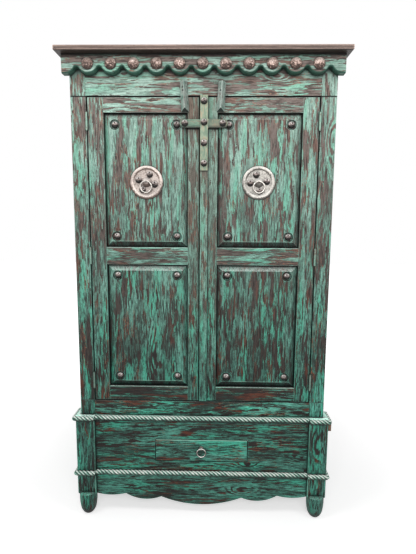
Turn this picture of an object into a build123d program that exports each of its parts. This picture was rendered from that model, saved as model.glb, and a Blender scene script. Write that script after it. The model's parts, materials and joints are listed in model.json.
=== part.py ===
from build123d import *

import os
from math import asin, cos, floor, radians, sin

# Two-door trastero cabinet on a separate base with one drawer.
# Frame: +X to the viewer's right, +Y to the back, +Z up, millimetres.
# The origin is on the floor, under the middle of the overall depth.

# ---------------------------------------------------------------- driving sizes
case_width = 1130.0
case_depth = 540.0
cap_side_overhang = 39.0
cap_front_overhang = 75.0
cap_thickness = 21.0
cap_nose_radius = 4.0

board_thickness = 20.0
shelf_thickness = 18.0
edge_ease = 1.5

# Heights of the stack, from the floor up
foot_height = 100.0
lower_rope_height = 208.0
base_height = 490.0
ledge_thickness = 20.0
plinth_rail_width = 72.0
crown_height = 156.0
door_end_gap = 3.5

# Face frame and doors
face_post_width = 66.5
face_post_thickness = 30.0
door_side_gap = 4.5
door_thickness = 28.0
meeting_line = -13.0
hinge_stile_width = 68.5
panel_inner_edge = 64.0
top_rail_width = 64.5
upper_panel_opening = 572.0
middle_rail_width = 78.0
lower_panel_opening = 565.0
bottom_rail_width = 66.5

# Raised panels in grooves
field_setback = 2.0
bevel_width = 26.0
bevel_depth = 12.0
tongue_thickness = 8.0
groove_depth = 10.0
groove_clearance = 0.2
corner_recess_radius = 22.0
corner_recess_depth = 5.0

# Domed nails (clavos)
clavo_radius = 14.5
clavo_height = 10.0
clavo_inset = 48.0
clavo_shank_radius = 2.5
panel_nail_length = 10.0
nail_clearance = 0.15

# Astragal and iron cross
astragal_width = 33.0
astragal_thickness = 8.5
cross_thickness = 5.5
strap_width = 32.0
strap_height = 310.0
strap_over_door = 5.5
arm_width = 33.0
arm_drop = 99.0
right_arm_reach = 106.0
left_arm_reach = 97.0
arm_nail_inset = 21.0
arm_gap = 1.5
crossing_fillet = 6.0
standoff_radius = 8.0
standoff_from_edge = 20.0
cross_nail_length = 26.0
strap_top_nail_drop = 25.0
strap_foot_nail_rise = 30.0
arm_middle_nail_rise = 4.5

# Ridged iron bars at the head of the doors
bar_width = 33.0
bar_ridge = 22.0
bar_length = 121.0
bar_foot_offset = 75.0
bar_lean = 3.0
bar_below_door_top = 60.5
bar_cut_rise = 14.0
bar_ridge_radius = 2.5
bar_header_clearance = 1.0
bar_nail_hole_radius = 2.2
bar_nail_hole_depth = 6.0
left_bar_nail_heights = (84.0, 97.0)
right_bar_nail_heights = (84.0,)

# Escutcheons with ring pulls
plate_radius = 71.0
plate_thickness = 3.0
plate_rim_width = 17.0
plate_rim_height = 7.0
plate_boss_radius = 21.0
plate_boss_height = 13.0
plate_offset = 243.0
plate_height = 991.5
plate_nail_circle = 36.0
left_plate_nail_angles = (67.0, 164.0, -14.0, -119.0)
right_plate_nail_angles = (108.0, 183.0, 8.0, -82.0)
eye_rise = 3.0
door_ring_radius = 24.0
door_ring_wire = 3.1
eye_wire = 1.3
eye_play = 0.45
eye_seat_gap = 0.4
eye_stem_radius = 2.2
eye_stem_depth = 12.0

# Butt hinges
hinge_drops = (100.0, 675.0, 1251.0)
hinge_height = 72.0
knuckle_count = 5
knuckle_radius = 4.5
knuckle_gap = 0.3
hinge_leaf_thickness = 1.2
hinge_leaf_depth = 25.0
hinge_pin_radius = 2.2
hinge_pin_clearance = 0.05
hinge_cap_height = 2.0
hinge_cap_radius = 3.6

# Scalloped cornice
valance_height = 75.0
valance_thickness = 36.0
side_valance_thickness = 21.0
side_valance_height = 48.0
scallop_pitch = 95.4
front_scallops = 11
scallop_angle = 60.0
lobe_radius = 43.8
lobe_edge_radius = 7.0
cornice_clavo_radius = 24.3
cornice_clavo_height = 12.0
cornice_clavo_shank_radius = 3.0
cornice_clavo_shank = 24.0
cornice_clavo_rise = 37.0

# Base
base_post_size = 87.0
base_side_step = 20.5
post_front_step = 20.0
panel_front_step = 7.0
side_panel_recess = 13.0
foot_radius = 41.0
foot_straight = 14.0
foot_curve_height = 92.0
foot_fullness = 2.5
foot_shoulder = 12.0
front_foot_step = 24.0
post_ease = 2.0
rope_radius = 11.5
rope_sink = 7.0
rope_joint_gap = 0.3
upper_rope_drop = 10.0
ledge_block_size = (16.0, 60.0, 38.0)
ledge_block_drop = 22.0

# Bottom edge of the front apron: distance from the middle and height
apron_end_height = 97.0
apron_end_dip = (415.0, 89.0)
apron_outer_cusp = (360.0, 98.0)
apron_side_lobe = (270.0, 70.0)
apron_inner_cusp = (191.0, 84.5)
apron_middle_height = 47.0
side_apron_middle_height = 62.0
side_apron_cusp_inset = 70.0

# Drawer
drawer_front_width = 430.0
drawer_front_height = 107.0
drawer_bottom_height = 268.0
drawer_gap = 3.0
drawer_box_length = 430.0
drawer_side_thickness = 12.0
drawer_side_inset = 10.0
drawer_side_lift = 6.0
drawer_side_height = 88.0
drawer_floor_thickness = 6.0
drawer_floor_lift = 8.0
drawer_groove_depth = 5.0
runner_clearance = 0.3
runner_side_clearance = 1.0
runner_height = 22.0
runner_width = 34.0
guide_height = 28.0
drawer_ring_radius = 20.0
drawer_ring_wire = 2.5
drawer_rosette_radius = 9.0
drawer_rosette_height = 3.0
drawer_eye_drop = 42.0

# Inside the case
shelf_heights = (450.0, 890.0)
cleat_size = 20.0
cleat_setback = 60.0
shelf_setback = 10.0

# ---------------------------------------------------------------- derived planes
half_case = case_width / 2
face_y = (cap_front_overhang - case_depth) / 2
back_y = face_y + case_depth
back_inner_y = back_y - board_thickness

rail_top_z = base_height + plinth_rail_width
door_bottom_z = rail_top_z + door_end_gap
lower_panel_z = door_bottom_z + bottom_rail_width
middle_rail_z = lower_panel_z + lower_panel_opening
upper_panel_z = middle_rail_z + middle_rail_width
top_rail_z = upper_panel_z + upper_panel_opening
door_top_z = top_rail_z + top_rail_width
crown_z = door_top_z + door_end_gap
cap_z = crown_z + crown_height
valance_z = cap_z - valance_height
ledge_z = base_height - ledge_thickness

post_inner = half_case - face_post_width
door_outer = post_inner - door_side_gap
hinge_axis_x = post_inner - door_side_gap / 2
panel_outer = door_outer - hinge_stile_width
left_door_edge = meeting_line - door_side_gap / 2
right_door_edge = meeting_line + door_side_gap / 2
side_inner = half_case - board_thickness

field_y = face_y + field_setback
bevel_y = field_y + bevel_depth
panel_back_y = bevel_y + tongue_thickness
recess_y = field_y + corner_recess_depth
door_back_y = face_y + door_thickness

base_outer = half_case + base_side_step
base_post_inner = base_outer - base_post_size
base_post_y = face_y - post_front_step
base_panel_y = face_y - panel_front_step
rear_post_y = back_y - base_post_size
side_panel_outer = base_outer - side_panel_recess
front_post_back_y = base_post_y + base_post_size
upper_rope_z = base_height - upper_rope_drop


# ---------------------------------------------------------------- shared helpers
def facing(y):
    """Upright plane at depth y, drawn in X and Z, with its normal to the front."""
    return Plane.XZ.offset(-y)


def sideways(x, y=0):
    """Upright plane at x, drawn in Y and Z from depth y, with its normal to the right."""
    return Plane(origin=(x, y, 0), x_dir=(0, 1, 0), z_dir=(1, 0, 0))


def plank(x_span, y_span, z_span, mode=Mode.ADD):
    """Straight-sided board between three pairs of faces, in the part being built."""
    low = [min(span) for span in (x_span, y_span, z_span)]
    high = [max(span) for span in (x_span, y_span, z_span)]
    with Locations(tuple((a + b) / 2 for a, b in zip(low, high))):
        Box(*[b - a for a, b in zip(low, high)], mode=mode)


def drill(points, y, depth, radius):
    """Round holes going back from depth y, at points given as X and Z."""
    with Locations(*[Location((x, y, z), (-90, 0, 0)) for x, z in points]):
        Cylinder(radius, depth, align=(Align.CENTER, Align.CENTER, Align.MIN), mode=Mode.SUBTRACT)


def mirrored(outer, inner, side):
    """X span of a piece at one side of the middle: side is -1 left or +1 right."""
    return (side * outer, side * inner)


def cap_arc_point(radius, height):
    """Point half-way along the arc of a spherical cap, from its rim to its top."""
    sphere = (radius**2 + height**2) / (2 * height)
    half_angle = asin(min(1.0, radius / sphere)) / 2
    return (sphere * sin(half_angle), height - sphere * (1 - cos(half_angle)))


def domed_nail(radius, height, shank_radius, shank_length):
    """Nail with its head's seat at the origin, its dome to -Y and its shank to +Y."""
    middle = cap_arc_point(radius, height)
    with BuildPart() as nail:
        with BuildSketch(Plane.XY):
            with BuildLine():
                Polyline(
                    (0, -height),
                    (0, shank_length),
                    (shank_radius, shank_length),
                    (shank_radius, 0),
                    (radius, 0),
                )
                ThreePointArc((radius, 0), (middle[0], -middle[1]), (0, -height))
            make_face()
        revolve(axis=Axis.Y)
    return nail.part


def ring(radius, wire):
    """Plain wire ring in an upright plane, hung from the origin at its top."""
    with BuildPart() as loop:
        with Locations(Location((0, 0, -radius), (90, 0, 0))):
            Torus(radius, wire)
    return loop.part


def ring_eye(ring_wire, seat_distance, stem_depth):
    """Eye that holds a ring's wire at the origin, with a stem going back past its seat."""
    loop_radius = ring_wire + eye_play + eye_wire
    with BuildPart() as eye:
        with Locations(Location((0, 0, 0), (0, 90, 0))):
            Torus(loop_radius, eye_wire)
        with Locations(Location((0, loop_radius, 0), (-90, 0, 0))):
            Cylinder(
                eye_stem_radius,
                seat_distance - loop_radius + stem_depth,
                align=(Align.CENTER, Align.CENTER, Align.MIN),
            )
        with Locations(Location((0, 0, 0), (0, 90, 0))):
            Cylinder(ring_wire + eye_play, 4 * eye_wire + 2 * eye_stem_radius, mode=Mode.SUBTRACT)
    return eye.part


def scalloped_outline(length, height, scallops):
    """Board outline from its bottom middle, with whole lobes between tangent notches."""
    half_angle = radians(scallop_angle)
    notch_radius = scallop_pitch / (2 * sin(half_angle)) - lobe_radius
    shoulder_x = lobe_radius * sin(half_angle)
    shoulder_z = lobe_radius * (1 - cos(half_angle))
    notch_top = shoulder_z + notch_radius * (1 - cos(half_angle))
    quarter_x = lobe_radius * sin(half_angle / 2)
    quarter_z = lobe_radius * (1 - cos(half_angle / 2))
    first = -(scallops + 1) * scallop_pitch / 2
    with BuildSketch() as outline:
        with BuildLine():
            Polyline(
                (first, 0),
                (-length / 2, 0),
                (-length / 2, height),
                (length / 2, height),
                (length / 2, 0),
                (-first, 0),
            )
            for index in range(scallops + 1):
                left = first + index * scallop_pitch
                right = left + scallop_pitch
                ThreePointArc((left, 0), (left + quarter_x, quarter_z), (left + shoulder_x, shoulder_z))
                ThreePointArc(
                    (left + shoulder_x, shoulder_z),
                    ((left + right) / 2, notch_top),
                    (right - shoulder_x, shoulder_z),
                )
                ThreePointArc((right - shoulder_x, shoulder_z), (right - quarter_x, quarter_z), (right, 0))
        make_face()
    return outline.sketch


def save(builder, name):
    """Label a finished sub-part and write its STEP file."""
    builder.part.label = name
    export_step(builder.part, f"parts/{name}.step")


os.makedirs("parts", exist_ok=True)
sides = {"left": -1, "right": 1}

# ---------------------------------------------------------------- cap and cornice
cap_half_width = half_case + cap_side_overhang
with BuildPart() as cap_top:
    plank(
        (-cap_half_width, cap_half_width),
        (face_y - cap_front_overhang, back_y),
        (cap_z, cap_z + cap_thickness),
    )
    flat_edges = cap_top.edges().group_by(Axis.Z)
    nose_edges = (flat_edges[0] + flat_edges[-1]).filter_by(lambda edge: edge.center().Y < back_y - edge_ease)
    fillet(nose_edges, min(cap_nose_radius, 0.45 * cap_thickness))
save(cap_top, "cap_top")

front_valance_length = case_width + 2 * side_valance_thickness
front_scallop_count = min(front_scallops, floor(front_valance_length / scallop_pitch) - 1)
cornice_nails = [
    ((index - (front_scallop_count - 1) / 2) * scallop_pitch, valance_z + cornice_clavo_rise)
    for index in range(front_scallop_count)
]
valance_face_y = face_y - valance_thickness

with BuildPart() as front_valance:
    with BuildSketch(facing(face_y)):
        with Locations((0, valance_z)):
            add(scalloped_outline(front_valance_length, valance_height, front_scallop_count))
    extrude(amount=valance_thickness)
    front_edges = front_valance.faces().sort_by(Axis.Y)[0].edges()
    lobe_edges = front_edges.filter_by(lambda edge: edge.center().Z < valance_z + valance_height / 3)
    fillet(lobe_edges, lobe_edge_radius)
    drill(cornice_nails, valance_face_y, cornice_clavo_shank + 1, cornice_clavo_shank_radius + nail_clearance)
save(front_valance, "front_valance")

side_scallop_count = floor(case_depth / scallop_pitch) - 1
with BuildPart() as side_valances:
    for side in sides.values():
        with BuildSketch(sideways(side * half_case)):
            with Locations((face_y + case_depth / 2, cap_z - side_valance_height)):
                add(scalloped_outline(case_depth, side_valance_height, side_scallop_count))
        extrude(amount=side * side_valance_thickness)
save(side_valances, "side_valances")

cornice_clavo = domed_nail(
    cornice_clavo_radius, cornice_clavo_height, cornice_clavo_shank_radius, cornice_clavo_shank
)
with BuildPart() as cornice_clavos:
    with Locations(*[(x, valance_face_y, z) for x, z in cornice_nails]):
        add(cornice_clavo)
save(cornice_clavos, "cornice_clavos")

# ---------------------------------------------------------------- upper case
with BuildPart() as crown_front_board:
    plank((-post_inner, post_inner), (face_y, face_y + board_thickness), (crown_z, cap_z))
    chamfer(crown_front_board.edges().group_by(Axis.Y)[0].filter_by(Axis.X), edge_ease)
save(crown_front_board, "crown_front_board")

with BuildPart() as corner_blocks:
    for side in sides.values():
        for z_span in ((crown_z, cap_z), (base_height, rail_top_z)):
            plank(
                mirrored(half_case, post_inner, side),
                (face_y, face_y + face_post_thickness),
                z_span,
            )
    chamfer(corner_blocks.edges().group_by(Axis.Y)[0], edge_ease)
save(corner_blocks, "corner_blocks")

with BuildPart() as front_posts:
    for side in sides.values():
        plank(
            mirrored(half_case, post_inner, side),
            (face_y, face_y + face_post_thickness),
            (rail_top_z, crown_z),
        )
    chamfer(front_posts.edges().group_by(Axis.Y)[0], edge_ease)
save(front_posts, "front_posts")

with BuildPart() as case_sides:
    for side in sides.values():
        plank(
            mirrored(half_case, side_inner, side),
            (face_y + face_post_thickness, back_y),
            (base_height, cap_z),
        )
save(case_sides, "case_sides")

with BuildPart() as back_panels:
    plank((-side_inner, side_inner), (back_inner_y, back_y), (base_height, cap_z))
    plank((-base_post_inner, base_post_inner), (back_inner_y, back_y), (lower_rope_height, ledge_z))
save(back_panels, "back_panels")

with BuildPart() as bottom_rail:
    plank((-post_inner, post_inner), (face_y, face_y + face_post_thickness), (base_height, rail_top_z))
    chamfer(bottom_rail.edges().group_by(Axis.Y)[0].filter_by(Axis.X), edge_ease)
save(bottom_rail, "bottom_rail")

with BuildPart() as case_ceiling:
    plank(
        (-side_inner, side_inner),
        (face_y + face_post_thickness, back_inner_y),
        (crown_z, crown_z + shelf_thickness),
    )
save(case_ceiling, "case_ceiling")

with BuildPart() as case_floor:
    plank(
        (-side_inner, side_inner),
        (face_y + face_post_thickness, back_inner_y),
        (rail_top_z - shelf_thickness, rail_top_z),
    )
save(case_floor, "case_floor")

shelf_front_y = face_y + face_post_thickness + shelf_setback
shelf_levels = [rail_top_z + height for height in shelf_heights]
with BuildPart() as shelves:
    for level in shelf_levels:
        plank((-side_inner, side_inner), (shelf_front_y, back_inner_y), (level, level + shelf_thickness))
    chamfer(shelves.edges().group_by(Axis.Y)[0].filter_by(Axis.X), edge_ease)
save(shelves, "shelves")

# Unpainted strips: two under each shelf, and the block under the ledge at the right
ledge_block_top = base_height - ledge_block_drop
with BuildPart() as cleats:
    for side in sides.values():
        for level in shelf_levels:
            plank(
                mirrored(side_inner, side_inner - cleat_size, side),
                (face_y + cleat_setback, back_inner_y),
                (level - cleat_size, level),
            )
    plank(
        (base_outer, base_outer + ledge_block_size[0]),
        (face_y - post_front_step / 2, face_y - post_front_step / 2 + ledge_block_size[1]),
        (ledge_block_top - ledge_block_size[2], ledge_block_top),
    )
save(cleats, "cleats")

# ---------------------------------------------------------------- base
with BuildPart() as ledge_top:
    plank((-side_panel_outer, side_panel_outer), (base_panel_y, back_y), (ledge_z, base_height))
    for side in sides.values():
        for y_start in (base_post_y, rear_post_y):
            plank(
                mirrored(base_outer, base_post_inner, side),
                (y_start, y_start + base_post_size),
                (ledge_z, base_height),
            )
save(ledge_top, "ledge_top")

foot_centre_height = foot_height - foot_straight
foot_top = foot_height + foot_shoulder


def bullet_point(share):
    """Point of the bullet foot's outline at a share of its rounded height."""
    height = share * foot_centre_height
    drop = (foot_centre_height - height) / foot_curve_height
    return (foot_radius * (1 - drop**foot_fullness) ** (1 / foot_fullness), height)


with BuildPart() as turned_foot:
    with BuildSketch(Plane.XZ):
        with BuildLine():
            ThreePointArc(bullet_point(0), bullet_point(0.15), bullet_point(0.4))
            ThreePointArc(bullet_point(0.4), bullet_point(0.7), bullet_point(1))
            Line(bullet_point(1), (foot_radius, foot_height))
            RadiusArc((foot_radius, foot_height), (foot_radius - foot_shoulder, foot_top), -foot_shoulder)
            Polyline((foot_radius - foot_shoulder, foot_top), (0, foot_top), (0, 0), bullet_point(0))
        make_face()
    revolve(axis=Axis.Z)

post_middle_x = base_outer - base_post_size / 2
post_rows = (base_post_y + base_post_size / 2, rear_post_y + base_post_size / 2)
foot_rows = (post_rows[0] - front_foot_step, post_rows[1])
post_middles = [(side * post_middle_x, y) for side in sides.values() for y in post_rows]
foot_middles = [(side * post_middle_x, y) for side in sides.values() for y in foot_rows]

with BuildPart() as base_posts:
    with BuildSketch(Plane.XY.offset(foot_height)):
        with Locations(*post_middles):
            Rectangle(base_post_size, base_post_size)
    extrude(amount=ledge_z - foot_height)
    chamfer(base_posts.edges().filter_by(Axis.Z), post_ease)
    chamfer(base_posts.edges().group_by(Axis.Z)[0], post_ease)
    with Locations(*[(x, y, 0) for x, y in foot_middles]):
        add(turned_foot.part)
save(base_posts, "base_posts")

opening_x = drawer_front_width / 2 + drawer_gap
with BuildPart() as base_front_panel:
    plank(
        (-base_post_inner, base_post_inner),
        (base_panel_y, base_panel_y + board_thickness),
        (lower_rope_height, ledge_z),
    )
    plank(
        (-opening_x, opening_x),
        (base_panel_y, base_panel_y + board_thickness),
        (drawer_bottom_height - drawer_gap, drawer_bottom_height + drawer_front_height + drawer_gap),
        mode=Mode.SUBTRACT,
    )
save(base_front_panel, "base_front_panel")

with BuildPart() as base_side_panels:
    for side in sides.values():
        plank(
            mirrored(side_panel_outer, side_panel_outer - board_thickness, side),
            (front_post_back_y, rear_post_y),
            (lower_rope_height, ledge_z),
        )
save(base_side_panels, "base_side_panels")

with BuildPart() as front_apron:
    with BuildSketch(facing(base_panel_y + board_thickness)):
        with BuildLine():
            Polyline(
                (-base_post_inner, apron_end_height),
                (-base_post_inner, lower_rope_height),
                (base_post_inner, lower_rope_height),
                (base_post_inner, apron_end_height),
            )
            for side in sides.values():
                ThreePointArc(
                    (side * base_post_inner, apron_end_height),
                    (side * apron_end_dip[0], apron_end_dip[1]),
                    (side * apron_outer_cusp[0], apron_outer_cusp[1]),
                )
                ThreePointArc(
                    (side * apron_outer_cusp[0], apron_outer_cusp[1]),
                    (side * apron_side_lobe[0], apron_side_lobe[1]),
                    (side * apron_inner_cusp[0], apron_inner_cusp[1]),
                )
            ThreePointArc(
                (-apron_inner_cusp[0], apron_inner_cusp[1]),
                (0, apron_middle_height),
                apron_inner_cusp,
            )
        make_face()
    extrude(amount=board_thickness)
save(front_apron, "front_apron")

side_apron_middle_y = (front_post_back_y + rear_post_y) / 2
side_apron_half = (rear_post_y - front_post_back_y) / 2
cusp_reach = side_apron_half - side_apron_cusp_inset
with BuildPart() as side_aprons:
    for side in sides.values():
        with BuildSketch(sideways(side * side_panel_outer, side_apron_middle_y)):
            with BuildLine():
                Polyline(
                    (-cusp_reach, apron_end_height),
                    (-side_apron_half, apron_end_height),
                    (-side_apron_half, lower_rope_height),
                    (side_apron_half, lower_rope_height),
                    (side_apron_half, apron_end_height),
                    (cusp_reach, apron_end_height),
                )
                ThreePointArc(
                    (-cusp_reach, apron_end_height),
                    (0, side_apron_middle_height),
                    (cusp_reach, apron_end_height),
                )
            make_face()
        extrude(amount=-side * board_thickness)
save(side_aprons, "side_aprons")

# Rope mouldings: round rods let into the faces they follow, one piece to each face,
# and one round-cornered piece round each front post
rope_offset = rope_radius - rope_sink
rope_x = base_outer + rope_offset
rope_y = base_post_y - rope_offset
post_joint_x = base_post_inner + rope_joint_gap


def rod_across(x_span, y, z):
    """Round rod along X in the part being built."""
    with Locations(Location(((x_span[0] + x_span[1]) / 2, y, z), (0, 90, 0))):
        Cylinder(rope_radius, abs(x_span[1] - x_span[0]))


def rod_along(x, y_span, z):
    """Round rod along Y in the part being built."""
    with Locations(Location((x, (y_span[0] + y_span[1]) / 2, z), (90, 0, 0))):
        Cylinder(rope_radius, abs(y_span[1] - y_span[0]))


with BuildPart() as rope_mouldings:
    for level in (lower_rope_height, upper_rope_z):
        rod_across((-base_post_inner, base_post_inner), base_panel_y - rope_offset, level)
        for side in sides.values():
            rod_across((side * post_joint_x, side * rope_x), rope_y, level)
            with Locations((side * rope_x, rope_y, level)):
                Sphere(rope_radius)
            rod_along(side * rope_x, (rope_y, front_post_back_y - rope_joint_gap), level)
            rod_along(side * (side_panel_outer + rope_offset), (front_post_back_y, rear_post_y), level)
            rod_along(side * rope_x, (rear_post_y + rope_joint_gap, back_y), level)
        rod_span = (level - rope_radius, level + rope_radius)
        plank((-side_panel_outer, side_panel_outer), (base_panel_y, back_y), rod_span, mode=Mode.SUBTRACT)
        for side in sides.values():
            for y_start in (base_post_y, rear_post_y):
                plank(
                    mirrored(base_outer, base_post_inner, side),
                    (y_start, y_start + base_post_size),
                    rod_span,
                    mode=Mode.SUBTRACT,
                )
save(rope_mouldings, "rope_mouldings")

# ---------------------------------------------------------------- doors
nail_hole_radius = clavo_shank_radius + nail_clearance
plate_z = door_bottom_z + plate_height
plate_front_y = field_y - plate_thickness
eye_loop_outer = door_ring_wire + eye_play + 2 * eye_wire
ring_y = plate_front_y - plate_boss_height - eye_seat_gap - eye_loop_outer
eye_z = plate_z + eye_rise

strap_top_z = door_top_z + strap_over_door
arm_z = strap_top_z - arm_drop - arm_width / 2
strap_left = right_door_edge + (astragal_width - strap_width) / 2
strap_middle = strap_left + strap_width / 2
iron_back_y = face_y - astragal_thickness
iron_front_y = iron_back_y - cross_thickness
crossing_nail_z = arm_z + arm_middle_nail_rise
foot_nail_z = strap_top_z - strap_height + strap_foot_nail_rise
strap_nail_levels = (
    strap_top_z - strap_top_nail_drop,
    crossing_nail_z,
    (crossing_nail_z + foot_nail_z) / 2,
    foot_nail_z,
)
strap_nails = [(strap_middle, z) for z in strap_nail_levels]
arm_nails = {
    "left": (-(left_arm_reach - arm_nail_inset), arm_z),
    "right": (right_arm_reach - arm_nail_inset, arm_z),
}
standoffs = {
    "left": (left_door_edge - standoff_from_edge, arm_z),
    "right": (strap_left + strap_width + standoff_from_edge, arm_z),
}

panel_clavo = domed_nail(clavo_radius, clavo_height, clavo_shank_radius, panel_nail_length)
cross_clavo = domed_nail(clavo_radius, clavo_height, clavo_shank_radius, cross_nail_length)
plate_nail_angles = {"left": left_plate_nail_angles, "right": right_plate_nail_angles}
meeting_edges = {"left": left_door_edge, "right": right_door_edge}
groove_y = (bevel_y - groove_clearance, panel_back_y + groove_clearance)
openings = {
    "upper": (upper_panel_z, top_rail_z),
    "lower": (lower_panel_z, middle_rail_z),
}


def clavo_points(side, z_span):
    """Corner nails of one panel, each inset from the opening by the same distance."""
    return [
        (side * x, z)
        for x in (panel_inner_edge + clavo_inset, panel_outer - clavo_inset)
        for z in (z_span[0] + clavo_inset, z_span[1] - clavo_inset)
    ]


def plate_nail_points(name, side):
    """Nails round an escutcheon's middle, at that plate's own angles."""
    return [
        (
            side * plate_offset + plate_nail_circle * cos(radians(angle)),
            plate_z + plate_nail_circle * sin(radians(angle)),
        )
        for angle in plate_nail_angles[name]
    ]


for name, side in sides.items():
    inner_edge = side * panel_inner_edge
    outer_edge = side * panel_outer
    meeting_edge = meeting_edges[name]
    corner_nails = {key: clavo_points(side, span) for key, span in openings.items()}
    plate_nails = plate_nail_points(name, side)
    plate_x = side * plate_offset
    cross_nails = [arm_nails[name]] + (strap_nails if name == "right" else [])

    with BuildPart() as hinge_stile:
        plank((side * door_outer, outer_edge), (face_y, door_back_y), (door_bottom_z, door_top_z))
        chamfer(hinge_stile.edges().group_by(Axis.Y)[0], edge_ease)
        plank(
            (outer_edge, outer_edge + side * groove_depth),
            groove_y,
            (door_bottom_z, door_top_z),
            mode=Mode.SUBTRACT,
        )
    save(hinge_stile, f"{name}_hinge_stile")

    with BuildPart() as meeting_stile:
        plank((meeting_edge, inner_edge), (face_y, door_back_y), (door_bottom_z, door_top_z))
        chamfer(meeting_stile.edges().group_by(Axis.Y)[0], edge_ease)
        plank(
            (inner_edge - side * groove_depth, inner_edge),
            groove_y,
            (door_bottom_z, door_top_z),
            mode=Mode.SUBTRACT,
        )
        if name == "right":
            drill(strap_nails, face_y, cross_nail_length, nail_hole_radius)
    save(meeting_stile, f"{name}_meeting_stile")

    rail_spans = {
        "bottom_rail": (door_bottom_z, lower_panel_z),
        "middle_rail": (middle_rail_z, upper_panel_z),
        "top_rail": (top_rail_z, door_top_z),
    }
    for rail_name, (low, high) in rail_spans.items():
        tenon = groove_depth - groove_clearance
        with BuildPart() as rail:
            plank((inner_edge, outer_edge), (face_y, door_back_y), (low, high))
            chamfer(rail.edges().group_by(Axis.Y)[0].filter_by(Axis.X), edge_ease)
            plank(
                (inner_edge - side * tenon, outer_edge + side * tenon),
                (bevel_y, panel_back_y),
                (low, high),
            )
            if rail_name != "bottom_rail":
                plank(
                    (inner_edge - side * tenon, outer_edge + side * tenon),
                    groove_y,
                    (low, low + groove_depth),
                    mode=Mode.SUBTRACT,
                )
            if rail_name != "top_rail":
                plank(
                    (inner_edge - side * tenon, outer_edge + side * tenon),
                    groove_y,
                    (high - groove_depth, high),
                    mode=Mode.SUBTRACT,
                )
        save(rail, f"{name}_{rail_name}")

    for key, (low, high) in openings.items():
        tongue = groove_depth - groove_clearance
        middle = ((inner_edge + outer_edge) / 2, (low + high) / 2)
        width = abs(outer_edge - inner_edge)
        with BuildPart() as panel:
            with BuildSketch(facing(panel_back_y)):
                with Locations(middle):
                    Rectangle(width + 2 * tongue, high - low + 2 * tongue)
            extrude(amount=tongue_thickness)
            with BuildSketch(facing(bevel_y)):
                with Locations(middle):
                    Rectangle(width, high - low)
            with BuildSketch(facing(field_y)):
                with Locations(middle):
                    Rectangle(width - 2 * bevel_width, high - low - 2 * bevel_width)
            loft()
            drill(corner_nails[key], field_y, corner_recess_depth, corner_recess_radius)
            drill(corner_nails[key], recess_y, panel_nail_length + nail_clearance, nail_hole_radius)
            if key == "upper":
                drill(plate_nails, field_y, panel_nail_length, nail_hole_radius)
                drill([arm_nails[name]], field_y, cross_nail_length / 2, nail_hole_radius)
                drill([(plate_x, eye_z)], field_y, eye_stem_depth, eye_stem_radius + nail_clearance)
        save(panel, f"{name}_{key}_panel")

    with BuildPart() as door_clavos:
        with Locations(*[(x, recess_y, z) for points in corner_nails.values() for x, z in points]):
            add(panel_clavo)
        with Locations(*[(x, plate_front_y, z) for x, z in plate_nails]):
            add(panel_clavo)
        with Locations(*[(x, iron_front_y, z) for x, z in cross_nails]):
            add(cross_clavo)
    save(door_clavos, f"{name}_door_clavos")

    # Dished plate with a raised round rim and a domed boss
    rim_inner = plate_radius - plate_rim_width
    boss_arc = cap_arc_point(plate_boss_radius, plate_boss_height)
    with BuildPart() as escutcheon:
        with BuildSketch(Plane.XY):
            with BuildLine():
                Polyline(
                    (0, -plate_thickness - plate_boss_height),
                    (0, 0),
                    (plate_radius, 0),
                    (plate_radius, -plate_thickness),
                )
                ThreePointArc(
                    (plate_radius, -plate_thickness),
                    (plate_radius - plate_rim_width / 2, -plate_rim_height),
                    (rim_inner, -plate_thickness),
                )
                Line((rim_inner, -plate_thickness), (plate_boss_radius, -plate_thickness))
                ThreePointArc(
                    (plate_boss_radius, -plate_thickness),
                    (boss_arc[0], -plate_thickness - boss_arc[1]),
                    (0, -plate_thickness - plate_boss_height),
                )
            make_face()
        revolve(axis=Axis.Y)
        offset_nails = [(x - plate_x, z - plate_z) for x, z in plate_nails]
        through = plate_thickness + plate_boss_height
        drill(offset_nails, -through, through, nail_hole_radius)
        drill([(0, eye_rise)], -through, through, eye_stem_radius + nail_clearance)
    with BuildPart() as placed_escutcheon:
        with Locations((plate_x, field_y, plate_z)):
            add(escutcheon.part)
    save(placed_escutcheon, f"{name}_escutcheon")

    with BuildPart() as eye:
        with Locations((plate_x, ring_y, eye_z)):
            add(ring_eye(door_ring_wire, field_y - ring_y, eye_stem_depth))
    save(eye, f"{name}_ring_eye")

    with BuildPart() as pull_ring:
        with Locations((plate_x, ring_y, eye_z)):
            add(ring(door_ring_radius, door_ring_wire))
    save(pull_ring, f"{name}_pull_ring")

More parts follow.
